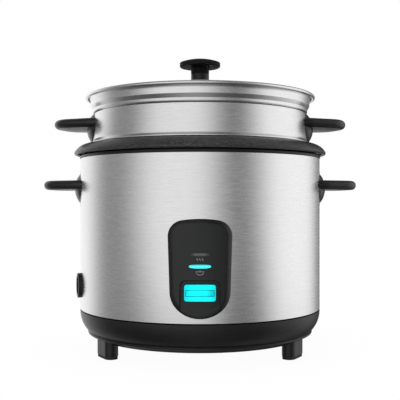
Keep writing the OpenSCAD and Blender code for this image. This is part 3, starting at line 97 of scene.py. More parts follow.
# Inlet, spring and wires
INLET_ANGLE, INLET_Z, INLET_FACE, INLET_FLANGE_BACK, INLET_FLOOR, INLET_END = 194.5, 71.6, 133.8, 129, 121.5, 119.5
INLET_FLANGE_R, INLET_TUBE_R, INLET_CAVITY_R = 13, 11.7, 9.7
INLET_EDGES = [0.1, 0.4, 0.2, 0.2, 0.9, 0.5, 0.3, 0.1]
SPRING_R, SPRING_WIRE_R, SPRING_TURNS, SPRING_FROM, SPRING_TO, CAP_TRAVEL = 18, 0.6, 6, 67.05, 92.65, 3
WIRE_R, SEAT_GAP, LINER_Z, CONTACT_R, CONTACT_END = 1.3, 0.3, 77, 5.6, 113.5
TERMINAL, TERMINAL_Z, FUSE, FUSE_HALF_L = (30, 62), 68, (-45, 25, 73.4), 11


# Shapes: every surface is a grid of points in millimetres

def arc(x, y, r, start, end, steps):
    """Points of a circle about (x, y) at even angles from start to end, in degrees."""
    a = np.radians(np.linspace(start, end, steps + 1))
    return np.stack([x + r * np.cos(a), y + r * np.sin(a)], -1)


CORNER_STEPS = 5


def rounded_corners(points, radius):
    """A closed polygon with its corners rounded: each arc touches both sides at radius / tan(half the corner's
    angle) from the corner, its middle lies on the corner's bisector, and no arc takes over half a side."""
    p = np.asarray(points, float)
    before, after = np.roll(p, 1, 0) - p, np.roll(p, -1, 0) - p
    length_b, length_a = np.linalg.norm(before, axis=1), np.linalg.norm(after, axis=1)
    before, after = before / length_b[:, None], after / length_a[:, None]
    half = np.arccos(np.clip((before * after).sum(1), -1, 1)) / 2
    touch = np.minimum(np.broadcast_to(radius, len(p)) / np.tan(half), 0.49 * np.minimum(length_a, length_b))
    r = touch * np.tan(half)
    middle = before + after
    centre = p + middle / np.linalg.norm(middle, axis=1)[:, None] * (r / np.sin(half))[:, None]
    first, last = p + before * touch[:, None] - centre, p + after * touch[:, None] - centre
    a = np.arctan2(first[:, 1], first[:, 0])
    turn = (np.arctan2(last[:, 1], last[:, 0]) - a + np.pi) % (2 * np.pi) - np.pi
    a = a[:, None] + turn[:, None] * np.linspace(0, 1, CORNER_STEPS + 1)
    arcs = centre[:, None] + r[:, None, None] * np.stack([np.cos(a), np.sin(a)], -1)
    return closed(arcs.reshape(-1, 2))


def closed(points):
    """A loop whose first point is repeated at its end."""
    return np.concatenate([points, points[:1]])


def beside(path, t):
    """A path moved to its left by t: each point goes along the mitre of the two sides that meet there."""
    d = np.diff(path, axis=0)
    left = np.stack([-d[:, 1], d[:, 0]], -1) / np.linalg.norm(d, axis=1)[:, None]
    m = np.concatenate([left[:1], left]) + np.concatenate([left, left[-1:]])
    return path + 2 * t * m / (m * m).sum(1)[:, None]


def sheet_section(path, t):
    """A closed section whose one face is the path and whose thickness lies on its left."""
    return closed(np.concatenate([path, beside(path, t)[::-1]]))


def lathe(profile, steps=288):
    """A profile of (radius, height) carried round the upright axis: (r cos a, r sin a, z)."""
    a = np.linspace(0, 2 * np.pi, steps + 1)
    r, z = np.asarray(profile, float).T[:, :, None]
    return np.stack([r * np.cos(a), r * np.sin(a), z + 0 * a], -1)


def tube(path, r, sides):
    """A round section carried along a path of points: at each point the ring lies across the path, on one side
    vector that is square to the path and as level as can be, and on the vector square to both. The ends close on
    their middle."""
    path = np.asarray(path, float)
    along = np.gradient(path, axis=0)
    along /= np.linalg.norm(along, axis=1)[:, None]
    side = np.cross(along, np.where(np.abs(along[:, 2:]) > 0.99, [[1.0, 0, 0]], [[0, 0, 1.0]]))
    side /= np.linalg.norm(side, axis=1)[:, None]
    up = np.cross(side, along)
    a = np.linspace(0, 2 * np.pi, sides + 1)[:, None]
    ring = path[:, None] + r * (np.cos(a) * side[:, None] + np.sin(a) * up[:, None])
    return np.concatenate([0 * ring[:1] + path[:1, None], ring, 0 * ring[:1] + path[-1:, None]])


def spline(points, steps):
    """A smooth path through points: between two of them the cubic whose ends point along their neighbours' chord."""
    p = np.asarray(points, float)
    q = np.concatenate([p[:1], p, p[-1:]])
    t = np.linspace(0, 1, steps, endpoint=False)[None, :, None]
    a, b, c, d = (q[i:i + len(p) - 1, None] for i in range(4))
    way = b + t / 2 * (c - a) + t ** 2 / 2 * (2 * a - 5 * b + 4 * c - d) + t ** 3 / 2 * (3 * b - a - 3 * c + d)
    return np.concatenate([way.reshape(-1, 3), p[-1:]])


def turned(grid, degrees):
    """A grid turned about the upright axis."""
    c, s = math.cos(math.radians(degrees)), math.sin(math.radians(degrees))
    return grid @ np.array([[c, s, 0], [-s, c, 0], [0, 0, 1]])


def smooth_step(x, low, high):
    """0 below low, 1 above high, and the cubic 3 t^2 - 2 t^3 between them."""
    t = np.clip((x - low) / (high - low), 0, 1)
    return t * t * (3 - 2 * t)


def piece(name, body, material, slot, *grids, replaces=(), crease=38):
    """A mesh of one or more grids. Points that coincide become one, faces that shrink to a line go, and each grid is
    turned outwards by the sign of the volume that it encloses."""
    points, quads, base = [], [], 0
    for g in grids:
        flat = g.reshape(-1, 3)
        index = np.arange(len(flat)).reshape(g.shape[:2])
        q = np.stack([index[:-1, :-1], index[:-1, 1:], index[1:, 1:], index[1:, :-1]], -1).reshape(-1, 4)
        a, b, c, d = np.moveaxis((flat - flat.mean(0))[q], 1, 0)
        volume = (a * np.cross(b, c)).sum() + (a * np.cross(c, d)).sum()
        quads.append((q if volume > 0 else q[:, ::-1]) + base)
        points.append(flat)
        base += len(flat)
    points, quads = np.concatenate(points), np.concatenate(quads)
    steps = np.round(points * MERGE_STEPS).astype(np.int64)
    _, first, same = np.unique(steps, axis=0, return_index=True, return_inverse=True)
    quads = same.reshape(-1)[quads]
    repeats = quads == np.roll(quads, -1, 1)
    whole, three = quads[repeats.sum(1) == 0], repeats.sum(1) == 1
    triangles = quads[three][~repeats[three]].reshape(-1, 3)
    mesh = bpy.data.meshes.new(name)
    mesh.from_pydata((points[first] * MM).tolist(), [], whole.tolist() + triangles.tolist())
    mesh.validate()
    mesh.shade_smooth()
    mesh.set_sharp_from_angle(angle=math.radians(crease))
    mesh.materials.append(material)
    o = bpy.data.objects.new(name, mesh)
    scene.collection.objects.link(o)
    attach(o, body)
    if replaces:
        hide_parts(*replaces)
    return o


# Shader maths

class Field:
    """A socket of a node tree. Sums, differences, products, quotients and powers of fields and numbers add Math nodes,
    and node() adds any other node from its type, its settings and its sockets."""

    def __init__(self, tree, socket=None):
        self.tree, self.socket = tree, socket

    def node(self, kind, settings=None, sockets=None, output=0):
        n = self.tree.nodes.new(kind)
        for key, value in (settings or {}).items():
            setattr(n, key, value)
        for key, value in (sockets or {}).items():
            if isinstance(value, Field):
                self.tree.links.new(value.socket, n.inputs[key])
            else:
                n.inputs[key].default_value = value
        return Field(self.tree, n.outputs[output])

    def math(self, operation, *values):
        return self.node("ShaderNodeMath", {"operation": operation}, dict(enumerate(values)))

    def __add__(self, other):
        return self.math("ADD", self, other)

    __radd__ = __add__

    def __sub__(self, other):
        return self.math("SUBTRACT", self, other)

    def __rsub__(self, other):
        return self.math("SUBTRACT", other, self)

    def __mul__(self, other):
        return self.math("MULTIPLY", self, other)

    def __truediv__(self, other):
        return self.math("DIVIDE", self, other)

    def __pow__(self, other):
        return self.math("POWER", self, other)

    def parts(self):
        """The three components of a vector."""
        return [self.node("ShaderNodeSeparateXYZ", None, {0: self}, k) for k in range(3)]

    def vector(self, x, y, z):
        return self.node("ShaderNodeCombineXYZ", None, {0: x, 1: y, 2: z})

    def noise(self, scale, detail, rough):
        """Noise at this vector, about 0.5."""
        return self.node("ShaderNodeTexNoise", None,
                         {"Vector": self, "Scale": scale, "Detail": detail, "Roughness": rough})

    def ramp(self, low, high):
        """0 where this is low, 1 where it is high, and a smooth step between."""
        return self.node("ShaderNodeMapRange", {"interpolation_type": "SMOOTHSTEP"}, {0: self, 1: low, 2: high})

    def between(self, first, second):
        """The colour that is first where this is 0 and second where it is 1."""
        sides = {k: v if isinstance(v, Field) else (*v, 1) for k, v in ((6, first), (7, second))}
        return self.node("ShaderNodeMix", {"data_type": "RGBA"}, {0: self, **sides}, 2)

    def bump(self, strength, distance):
        """A normal from this as a height, where 1 stands distance out of the surface."""
        return self.node("ShaderNodeBump", None, {"Height": self, "Strength": strength, "Distance": distance})


def grey(value):
    """A colour with three equal parts."""
    return (value, value, value)


def finish(name, paint, plain):
    """A material: plain holds the shader's constants, and paint(place) gives the sockets that vary over the surface."""
    material = bpy.data.materials.new(name)
    material.use_nodes = True
    tree = material.node_tree
    shader = tree.nodes["Principled BSDF"]
    for key, value in plain.items():
        shader.inputs[key].default_value = value
    place = Field(tree).node("ShaderNodeTexCoord", None, None, "Object")
    for key, value in paint(place).items():
        tree.links.new(value.socket, shader.inputs[key])
    return material


def turned_metal(name, dark, light, rough, lines, plain):
    """Metal brushed or spun round the upright axis: noise drawn out along the way round, so that it varies fast with
    radius plus height and slowly round, in fine lines and broader streaks."""
    def paint(place):
        x, y, z = place.parts()
        across = z + (x * x + y * y) ** 0.5
        fine = place.vector(x * 130.0, y * 130.0, across * lines).noise(1.0, 3.0, 0.6)
        broad = place.vector(x * 50.0, y * 50.0, across * (lines / 3)).noise(1.0, 2.0, 0.5)
        clouds = place.noise(14.0, 3.0, 0.55)
        streak = fine * 0.7 + broad * 0.3
        return {
            "Base Color": streak.ramp(0.3, 0.7).between(dark, light),
            "Roughness": rough + (streak - 0.5) * 0.16 + (clouds - 0.5) * 0.06,
            "Normal": streak.bump(0.10, 0.0001),
        }
    return finish(name, paint, {"Metallic": 1.0, **plain})


def moulded_plastic(name, dark, light, rough, grain, plain):
    """Moulded plastic: a fine even grain in the bump and the gloss, and slow clouds in the colour."""
    def paint(place):
        fine = place.noise(grain, 2.0, 0.6)
        clouds = place.noise(25.0, 3.0, 0.6)
        return {
            "Base Color": (clouds * 0.7 + fine * 0.3).ramp(0.3, 0.7).between(dark, light),
            "Roughness": rough + (clouds - 0.5) * 0.10 + (fine - 0.5) * 0.12,
            "Normal": fine.bump(0.18, 0.00008),
        }
    return finish(name, paint, plain)


def speckled_coating(name, ground, speck, rough):
    """Non-stick coating: pale specks of two sizes on a dark ground, each where a noise peaks."""
    def paint(place):
        small = place.noise(1300.0, 1.0, 0.5).ramp(0.50, 0.66)
        large = place.noise(600.0, 1.0, 0.5).ramp(0.64, 0.74)
        clouds = place.noise(40.0, 2.0, 0.5)
        both = small * 0.6 + large * 0.5
        specks = both.math("MINIMUM", both, 1.0)
        clouded = clouds.ramp(0.3, 0.7).between(ground, tuple(1.35 * c for c in ground))
        return {
            "Base Color": specks.between(clouded, speck),
            "Roughness": rough + (clouds - 0.5) * 0.12 - specks * 0.08,
            "Normal": (specks * 0.5 + place.noise(900.0, 2.0, 0.6) * 0.5).bump(0.15, 0.00006),
        }
    return finish(name, paint, {"Specular IOR Level": 0.35})


def tinted_clear(name, colour, rough):
    """Clear glass or plastic, with a trace of smear in its gloss."""
    def paint(place):
        smear = place.noise(30.0, 3.0, 0.6)
        return {"Base Color": smear.ramp(0.2, 0.8).between(colour, tuple(0.98 * c for c in colour)),
                "Roughness": rough + smear * 0.03}
    return finish(name, paint, {"Transmission Weight": 1.0, "IOR": 1.5})


def glow_and_painted_light_plastic(name, low, high, glow_low, glow_high, rough, glow, reach, painted_shade):
    """Coloured plastic that glows: colour and glow fall from high in the middle of the front to low at the reach, in
    metres to either side, a painted highlight and painted glow, and to a tenth of high where the given mask of painted
    shade is 1."""
    def paint(place):
        x = place.parts()[0]
        # Brighter in the middle of the front: a painted highlight and painted glow
        middle = 1 - (x * x) ** 0.5 / reach
        cloud = place.noise(220.0, 2.0, 0.5)
        level = (middle * 0.9 + cloud * 0.2).ramp(0.0, 0.75)
        colour, light = level.between(low, high), level.between(glow_low, glow_high)
        # Painted shade: colour and glow fall to a tenth of high where the mask is 1
        painted_dim = painted_shade(place)
        return {"Base Color": painted_dim.between(colour, tuple(0.1 * v for v in high)),
                "Emission Color": painted_dim.between(light, tuple(0.1 * v for v in glow_high)),
                "Roughness": rough + (cloud - 0.5) * 0.1}
    return finish(name, paint, {"Emission Strength": glow, "Coat Weight": 0.04, "Coat Roughness": 0.12,
                                "Specular IOR Level": 0.15})


def lens_painted_shade(place):
    """Painted shade on the lenses: nothing along a line a little below each lens's middle, which stays as a painted
    highlight, rising to 0.9 at its edges.
    """
    z = place.parts()[2]
    off_warm, off_cook = z - (WARM_Z - 0.5) * MM, z - (COOK_Z - 0.5) * MM
    off = z.math("MINIMUM", (off_warm * off_warm) ** 0.5, (off_cook * off_cook) ** 0.5)
    return off.ramp(0.0004, 0.0022) * 0.9


def key_painted_shade(place):
    """Painted shade on the key: 1 on the walls of the key's sunk band, near the band's outline and between its floor
    and the key's front, where a shadow line would fall. The band's floor dims by a third towards its right end, also
    painted shade."""
    x, y, z = place.parts()
    deep = y - KEY_FRONT_Y * MM
    across = (x * x) ** 0.5 - KEY_BAND_HALF_W * MM
    up = ((z - KEY_Z * MM) * (z - KEY_Z * MM)) ** 0.5 - KEY_BAND_HALF_H * MM
    inside = 1 - across.math("MAXIMUM", across, up).ramp(0.0004, 0.0007)
    wall = deep.ramp(0.00008, 0.0002) * (1 - deep.ramp(0.00075, 0.00085)) * inside
    return wall.math("MAXIMUM", wall, deep.ramp(0.0006, 0.0008) * inside * x.ramp(0.002, 0.012) * 0.33)


brushed_shell = turned_metal("brushed_shell", grey(0.83), grey(0.94), 0.26, 1500.0, {"Anisotropic": 0.6})
spun_metal = turned_metal("spun_metal", grey(0.80), grey(0.90), 0.26, 1500.0, {"Anisotropic": 0.4})
zinc_steel = turned_metal("zinc_steel", (0.50, 0.50, 0.51), (0.62, 0.62, 0.64), 0.34, 900.0, {})
liner_sheet = turned_metal("liner_sheet", (0.55, 0.56, 0.57), (0.68, 0.69, 0.70), 0.38, 700.0, {})
cast_aluminium = turned_metal("cast_aluminium", grey(0.52), grey(0.64), 0.42, 600.0, {})
contact_brass = turned_metal("contact_brass", (0.62, 0.46, 0.18), (0.76, 0.60, 0.28), 0.28, 900.0, {})
black_plastic = moulded_plastic("black_plastic", grey(0.008), grey(0.011), 0.34, 2600.0, {"Specular IOR Level": 0.32})
handle_plastic = moulded_plastic("handle_plastic", grey(0.008), grey(0.011), 0.33, 2200.0, {"Specular IOR Level": 0.44})
knob_plastic = moulded_plastic("knob_plastic", grey(0.009), grey(0.012), 0.62, 2200.0, {"Specular IOR Level": 0.10})
panel_plastic = moulded_plastic("panel_plastic", (0.006, 0.0068, 0.0065), (0.009, 0.0098, 0.0095), 0.30, 3000.0,
                                {"Specular IOR Level": 0.40})
inner_plastic = moulded_plastic("inner_plastic", grey(0.030), grey(0.045), 0.50, 1800.0, {})
red_plastic = moulded_plastic("red_plastic", (0.34, 0.03, 0.025), (0.42, 0.05, 0.04), 0.45, 1800.0, {})
pad_rubber = moulded_plastic("pad_rubber", grey(0.012), grey(0.022), 0.75, 1400.0, {})
silicone = moulded_plastic("silicone", (0.70, 0.70, 0.67), (0.80, 0.80, 0.78), 0.55, 900.0, {})
ceramic = moulded_plastic("ceramic", (0.78, 0.76, 0.71), (0.86, 0.85, 0.81), 0.60, 1200.0, {})
ferrite = moulded_plastic("ferrite", grey(0.045), grey(0.075), 0.62, 1500.0, {})
mica_band = moulded_plastic("mica_band", (0.46, 0.38, 0.26), (0.64, 0.56, 0.42), 0.55, 700.0, {})
circuit_board = moulded_plastic("circuit_board", (0.015, 0.14, 0.045), (0.03, 0.22, 0.08), 0.40, 800.0, {})
wire_jacket = moulded_plastic("wire_jacket", (0.38, 0.12, 0.08), (0.48, 0.18, 0.11), 0.52, 1300.0, {})
mark_paint = moulded_plastic("mark_paint", grey(0.17), grey(0.22), 0.60, 2000.0, {})
pot_coating = speckled_coating("pot_coating", (0.013, 0.013, 0.014), (0.11, 0.11, 0.115), 0.36)
clear_glass = tinted_clear("clear_glass", (0.93, 0.98, 0.97), 0.0)
# The key has no lamp behind it: its glow is painted light, its brighter middle a painted highlight, and its band lines
# painted shade
painted_glow_key = glow_and_painted_light_plastic("painted_glow_key", low=(0.0, 0.42, 0.46), high=(0.0, 0.60, 0.64), glow_low=(0.0, 0.42, 0.46),
                      glow_high=(0.0, 0.80, 0.84), rough=0.30, glow=0.7, reach=0.0155, painted_shade=key_painted_shade)
# The cook lens glows from its lamp; its brighter middle and darker edges are a painted highlight and painted shade
lit_lens = glow_and_painted_light_plastic("lit_lens", low=(0.0, 0.50, 0.55), high=(0.05, 0.75, 0.80), glow_low=(0.0, 0.60, 0.66),
                       glow_high=(0.05, 0.9, 0.9), rough=0.22, glow=0.9, reach=0.0155, painted_shade=lens_painted_shade)
# The warm lens's lamp is off: its paler streak below the middle is a painted highlight and its dark ends painted shade
dark_lens = glow_and_painted_light_plastic("dark_lens", low=(0.004, 0.0045, 0.0045), high=(0.09, 0.095, 0.095), glow_low=grey(0.0),
                        glow_high=grey(0.008), rough=0.24, glow=0.5, reach=0.0100, painted_shade=lens_painted_shade)


# Steel drum, base and collar

def base_outline(t):
    """The base's outside drawn in by t: a quarter of an ellipse from its foot, where the height is the base's sweep,
    up to its widest level."""
    across, up = BASE_ELLIPSE
    a = np.linspace(-math.asin((BASE_SWEEP_H - t) / (up - t)), 0, 25)
    return np.stack([SHELL_R - across + (across - t) * np.cos(a), BASE_BAND_Z + (up - t) * np.sin(a)], -1)


shell_section = [(SHELL_R - SHELL_T, SHELL_Z), (SHELL_R, SHELL_Z), (SHELL_R, SHELL_TOP), (SHELL_R - SHELL_T, SHELL_TOP)]
piece("shell_skin", "base_unit", brushed_shell, "brushed_shell", lathe(rounded_corners(shell_section, SHELL_EDGE_R)),
      replaces=["outer_shell"])

line_z, line_r = SHELL_Z - BASE_LINE_H, SHELL_R - BASE_LINE_DEPTH
base_top = np.array([(SHELL_R - into, line_z - down) for into, down in BASE_TOP_EDGE]
                    + [(line_r, line_z), (SPIGOT_R, SHELL_Z), (SPIGOT_R, SHELL_Z + SPIGOT_H),
                       (SPIGOT_IN_R, SHELL_Z + SPIGOT_H)])
base_side = base_outline(0)
base_lip = arc(BASE_LIP_R - BASE_LIP_EDGE_R, BASE_LIP_Z + BASE_LIP_EDGE_R, BASE_LIP_EDGE_R, -90, 60, 8)
base_section = np.concatenate([base_lip, base_side[base_side[:, 1] > BASE_LIP_Z + BASE_LIP_H], base_top,
                               base_outline(PLASTIC_T)[::-1],
                               [(BASE_FLANGE_R, BASE_Z + PLASTIC_T), (BASE_FLANGE_R, BASE_Z),
                                (BASE_LIP_R - BASE_LIP_T, BASE_Z), (BASE_LIP_R - BASE_LIP_T, BASE_LIP_Z)]])
piece("base_skin", "base_unit", black_plastic, "black_plastic", lathe(closed(base_section)), replaces=["base_ring"])

collar_section = [(COLLAR_LIP_R, SHELL_TOP + COLLAR_GAP), (COLLAR_LIP_R, COLLAR_LIP_Z), (COLLAR_TOP_R, COLLAR_LIP_Z),
                  (COLLAR_SEAT_R, SEAT_Z), (COLLAR_IN_R, SEAT_Z), (COLLAR_IN_R, COLLAR_WEB_Z),
                  (SPIGOT_IN_R, COLLAR_WEB_Z), (SPIGOT_IN_R, COLLAR_LOW_Z), (SPIGOT_R, COLLAR_LOW_Z),
                  (SPIGOT_R, SHELL_TOP + COLLAR_GAP)]
piece("collar_skin", "base_unit", black_plastic, "black_plastic",
      lathe(rounded_corners(collar_section, COLLAR_EDGES)), replaces=["top_collar"])


# Inner pot: floor, round corner, wall, neck, flat rim and dome, with a thick round edge

dome_z = POT_REST_Z - RIM_DOME_R
pot_under = np.concatenate([
    [(0, POT_Z)], arc(POT_R - POT_CORNER_R, POT_Z + POT_CORNER_R, POT_CORNER_R, -90, 0, 16),
    arc(POT_R + POT_NECK_R, POT_REST_Z - POT_NECK_R, POT_NECK_R, 180, 90, 6),
    arc(RIM_FLAT_R, dome_z, RIM_DOME_R, 90, RIM_END_ANGLE, 28)])
edge = pot_under[-1]
piece("pot_skin", "pot", pot_coating, "pot_coating", lathe(sheet_section(pot_under, POT_T)),
      lathe(arc(edge[0], edge[1], RIM_ROLL_R, 0, 360, 20)), replaces=["inner_pot"])


# Steamer: a spun wall over a floor with rings of steam holes

def steamer_outside(floor_edge):
    """The wall's outside from the floor's edge up: round corner, skirt, shoulder, sloping foot that bends into the
    leaning wall, bead, cove, neck edge, neck, flare and curled rim."""
    bead_x, slope, bends = STEAMER_R + BEAD_OUT - BEAD_R, math.radians(COVE_ANGLE), COVE_R + NECK_EDGE_R
    bead_low, bead_high = math.acos((STEAMER_R - bead_x) / BEAD_R), math.acos((COVE_X - bead_x) / BEAD_R)
    cove_z = BEAD_Z + BEAD_R * math.sin(bead_high)
    neck_z = cove_z + bends * math.sin(slope) + (NECK_R - COVE_X - bends * (1 - math.cos(slope))) / math.tan(slope)
    bend_up = FOOT_BEND_R * math.tan(math.radians(FOOT_SLOPE / 2))
    wall_foot_r = STEAMER_R + WALL_LEAN
    flare = arc(NECK_R + FLARE_R, NECK_TOP, FLARE_R, 180, 180 - FLARE_ANGLE, 14)
    curl_x, curl_z = flare[-1] - arc(0, 0, CURL_R, 180 - FLARE_ANGLE, 180, 1)[0]
    return np.concatenate([
        [(floor_edge, STEAMER_FLOOR_Z)],
        arc(SKIRT_R - SKIRT_CORNER_R, STEAMER_FLOOR_Z + SKIRT_CORNER_R, SKIRT_CORNER_R, -90, 0, 10),
        [(SKIRT_R, SHOULDER_Z)],
        arc(wall_foot_r + FOOT_OUT - FOOT_EDGE_R, SHOULDER_Z + FOOT_EDGE_R, FOOT_EDGE_R, -90, FOOT_SLOPE, 10),
        arc(wall_foot_r + FOOT_BEND_R, FOOT_TOP + bend_up, FOOT_BEND_R, 180 + FOOT_SLOPE, 180, 6),
        arc(bead_x, BEAD_Z, BEAD_R, -math.degrees(bead_low), math.degrees(bead_high), 14),
        arc(COVE_X + COVE_R, cove_z, COVE_R, 180, 180 - COVE_ANGLE, 12)[1:],
        arc(NECK_R - NECK_EDGE_R, neck_z, NECK_EDGE_R, -COVE_ANGLE, 0, 8)[1:],
        flare, arc(curl_x, curl_z, CURL_R, 180 - FLARE_ANGLE, 180 - FLARE_ANGLE - CURL_TURN, 28)[1:]])


def floor_cell(ring, turn):
    """A part of the floor round one hole: the cell is bounded by two radii and two headings, each of its points lies
    on the straight line from that bound to the hole's edge, and rows run over the top, down the hole and back
    below. Each ring has as many holes more as the first one has."""
    half = 180 / (FIRST_RING_HOLES * ring)
    a, r = np.linspace(-half, half, 48 // ring + 1), (ring + np.linspace(0.5, -0.5, 11)) * HOLE_PITCH
    round_cell = np.concatenate([a[:-1], 0 * r[1:] + half, a[:0:-1], 0 * r[1:] - half, a[:1]])
    heading, middle_heading = np.radians(round_cell + 2 * half * turn), math.radians(2 * half * turn)
    away = np.concatenate([0 * a[1:] + r[0], r[:-1], 0 * a[1:] + r[-1], r[:0:-1], r[:1]])
    bound = away[:, None] * np.stack([np.cos(heading), np.sin(heading)], -1)
    middle = ring * HOLE_PITCH * np.array([math.cos(middle_heading), math.sin(middle_heading)])
    out = bound - middle
    hole = middle + HOLE_R * out / np.linalg.norm(out, axis=1)[:, None]
    share = np.concatenate([np.linspace(0, 1, 6), np.linspace(1, 0, 6)])[:, None, None]
    level = np.repeat([STEAMER_FLOOR_Z + STEAMER_T, STEAMER_FLOOR_Z], 6)[:, None, None]
    return np.concatenate([bound + share * (hole - bound), level + 0 * (bound + share)[..., :1]], -1)


floor_edge = (HOLE_RINGS + 0.5) * HOLE_PITCH
wall_path = steamer_outside(floor_edge)
wall_section = np.concatenate([wall_path, beside(wall_path, STEAMER_T)[::-1]])
hub = np.array([(0.5 * HOLE_PITCH, STEAMER_FLOOR_Z + STEAMER_T), (HOLE_R, STEAMER_FLOOR_Z + STEAMER_T),
                (HOLE_R, STEAMER_FLOOR_Z), (0.5 * HOLE_PITCH, STEAMER_FLOOR_Z)])
piece("steamer_skin", "steamer", spun_metal, "spun_metal", lathe(wall_section), lathe(hub),
      *(floor_cell(ring, turn) for ring in range(1, HOLE_RINGS + 1) for turn in range(FIRST_RING_HOLES * ring)),
      replaces=["steamer_basket"])


# Knob and its collar

crown_r = (KNOB_R ** 2 + KNOB_CROWN_H ** 2) / (2 * KNOB_CROWN_H)
crown_z = CAP_LOW_Z + KNOB_EDGE_H + KNOB_CROWN_H - crown_r
crown_a = math.degrees(math.asin((KNOB_R - KNOB_TOP_R) / crown_r))
knob_profile = np.concatenate([
    [(0, STEM_Z)], arc(STEM_R - STEM_EDGE_R, STEM_Z + STEM_EDGE_R, STEM_EDGE_R, -90, 0, 4),
    arc(STEM_R + STEM_FILLET_R, CAP_LOW_Z - STEM_FILLET_R, STEM_FILLET_R, 180, 90, 8),
    arc(KNOB_R - KNOB_LOW_R, CAP_LOW_Z + KNOB_LOW_R, KNOB_LOW_R, -90, 0, 8),
    arc(KNOB_R - KNOB_TOP_R, CAP_LOW_Z + KNOB_EDGE_H - KNOB_TOP_R, KNOB_TOP_R, 0, 70, 5),
    arc(0, crown_z, crown_r, 90 - crown_a, 90, 24)])
piece("knob_skin", "lid", knob_plastic, "black_plastic", lathe(knob_profile, 144), replaces=["lid_knob"])
foot_r = STEM_R + KNOB_FOOT_FLARE
knob_collar_profile = np.concatenate([
    [(KNOB_BORE_R, KNOB_FOOT_Z)],
    arc(foot_r - KNOB_FOOT_EDGE_R, KNOB_FOOT_Z + KNOB_FOOT_EDGE_R, KNOB_FOOT_EDGE_R, -90, 0, 4),
    arc(foot_r, KNOB_FOOT_Z + KNOB_FOOT_H + KNOB_FOOT_FLARE, KNOB_FOOT_FLARE, -90, -180, 10),
    arc(STEM_R - STEM_EDGE_R, STEM_Z - STEM_EDGE_R, STEM_EDGE_R, 0, 90, 4), [(KNOB_BORE_R, STEM_Z)]])
piece("knob_collar_skin", "lid", black_plastic, "black_plastic", lathe(closed(knob_collar_profile), 144),
      replaces=["knob_collar"])


# Ear handles

def against_wall(grid, wall_r):
    """A grid whose points inside a drum are moved straight out to its wall."""
    r = np.linalg.norm(grid[..., :2], axis=-1)
    out = np.maximum(wall_r + WALL_GAP, r) / np.maximum(r, 1e-6)
    return np.concatenate([grid[..., :2] * out[..., None], grid[..., 2:]], -1)


def handle_plate(wall_r, reach, z, belly):
    """A plate whose outline wraps two discs: for each heading the point lies on whichever disc reaches further, the
    edge is a half circle in section, and the underside swells by the belly, as a parabola from edge to spine. Rows
    run from the spine underneath, round the edge, to the spine on top."""
    e = HANDLE_T / 2
    a = np.linspace(0, 2 * np.pi, 241)
    heading = np.stack([np.cos(a), np.sin(a)], -1)
    root, tip = np.array([wall_r - ROSETTE_IN, 0.0]), np.array([wall_r + reach - HANDLE_TIP_R, 0.0])
    on_tip = (heading @ tip + HANDLE_TIP_R > heading @ root + HANDLE_R)[:, None]
    middle, r = np.where(on_tip, tip, root), np.where(on_tip, HANDLE_TIP_R, HANDLE_R)
    spread = np.linspace(0, 1, 13)
    edge = np.radians(np.linspace(-90, 90, 15))[1:-1]
    share = np.concatenate([spread, 0 * edge + 1, spread[::-1]])
    out = np.concatenate([0 * spread, e * np.cos(edge), 0 * spread])
    up = np.concatenate([-e - belly * (1 - spread ** 2), e * np.sin(edge), 0 * spread + e])
    flat = middle + (share[:, None, None] * (r - e) + out[:, None, None]) * heading
    level = np.broadcast_to(z + up[:, None, None], flat.shape[:2] + (1,))
    return against_wall(np.concatenate([flat, level], -1), wall_r)


def handle_rosette(wall_r, z, size):
    """The convex foot of a handle: an ellipsoid of these half sizes whose middle lies inside the wall."""
    lat = np.radians(np.linspace(-90, 90, 61))[:, None]
    lon = np.radians(np.linspace(-180, 180, 121))[None]
    deep, wide, tall = size
    grid = np.stack([wall_r - ROSETTE_IN + deep * np.cos(lat) * np.cos(lon), wide * np.cos(lat) * np.sin(lon),
                     z + tall * np.sin(lat) + 0 * lon], -1)
    return against_wall(grid, wall_r)


for side, degrees in (("left", 180), ("right", 0)):
    for part, body, wall_r, reach, z, belly, size, drop in (
            ("body", "base_unit", SHELL_R, BODY_HANDLE_REACH, BODY_HANDLE_Z, BODY_BELLY, BODY_ROSETTE,
             BODY_ROSETTE_DROP),
            ("steamer", "steamer", STEAMER_R, STEAMER_HANDLE_REACH, STEAMER_HANDLE_Z, STEAMER_BELLY, STEAMER_ROSETTE,
             STEAMER_ROSETTE_DROP)):
        piece(f"{part}_handle_{side}_skin", body, handle_plastic, "black_plastic",
              turned(handle_plate(wall_r, reach, z, belly), degrees),
              turned(handle_rosette(wall_r, z - drop, size), degrees),
              replaces=[f"{part}_handle_{side}"])


# Control panel, lenses and key

def on_drum(flat, r):
    """Points drawn flat as (x, z), laid on the front of an upright drum of radius r."""
    x, z = flat[..., 0], flat[..., 1]
    return np.stack([x, -np.sqrt(r * r - x * x), z], -1)


def panel_outline(inset):
    """The panel's loop drawn in by inset: half an ellipse below, straight sides, corner arcs and a flat top arc."""
    low = np.radians(np.linspace(180, 360, 91))
    foot = np.stack([(PANEL_LOW_W / 2 - inset) * np.cos(low), PANEL_LOW_Z + (PANEL_LOW_H - inset) * np.sin(low)], -1)
    corner_x, top_z = PANEL_TOP_HALF_W - PANEL_CORNER_R, PANEL_TOP - PANEL_TOP_R
    corner_z = top_z + math.sqrt((PANEL_TOP_R - PANEL_CORNER_R) ** 2 - corner_x ** 2)
    meet = math.degrees(math.atan2(corner_z - top_z, corner_x))
    corner = arc(corner_x, corner_z, PANEL_CORNER_R - inset, 0, meet - 0.5, 20)
    top = arc(0, top_z, PANEL_TOP_R - inset, meet, 180 - meet, 30)
    share = np.linspace(0, 1, 122)[1:-1, None]
    side = foot[-1] + share * (corner[0] - foot[-1])
    return closed(np.concatenate([foot, side, corner, top, corner[::-1] * [-1, 1], side[::-1] * [-1, 1]]))


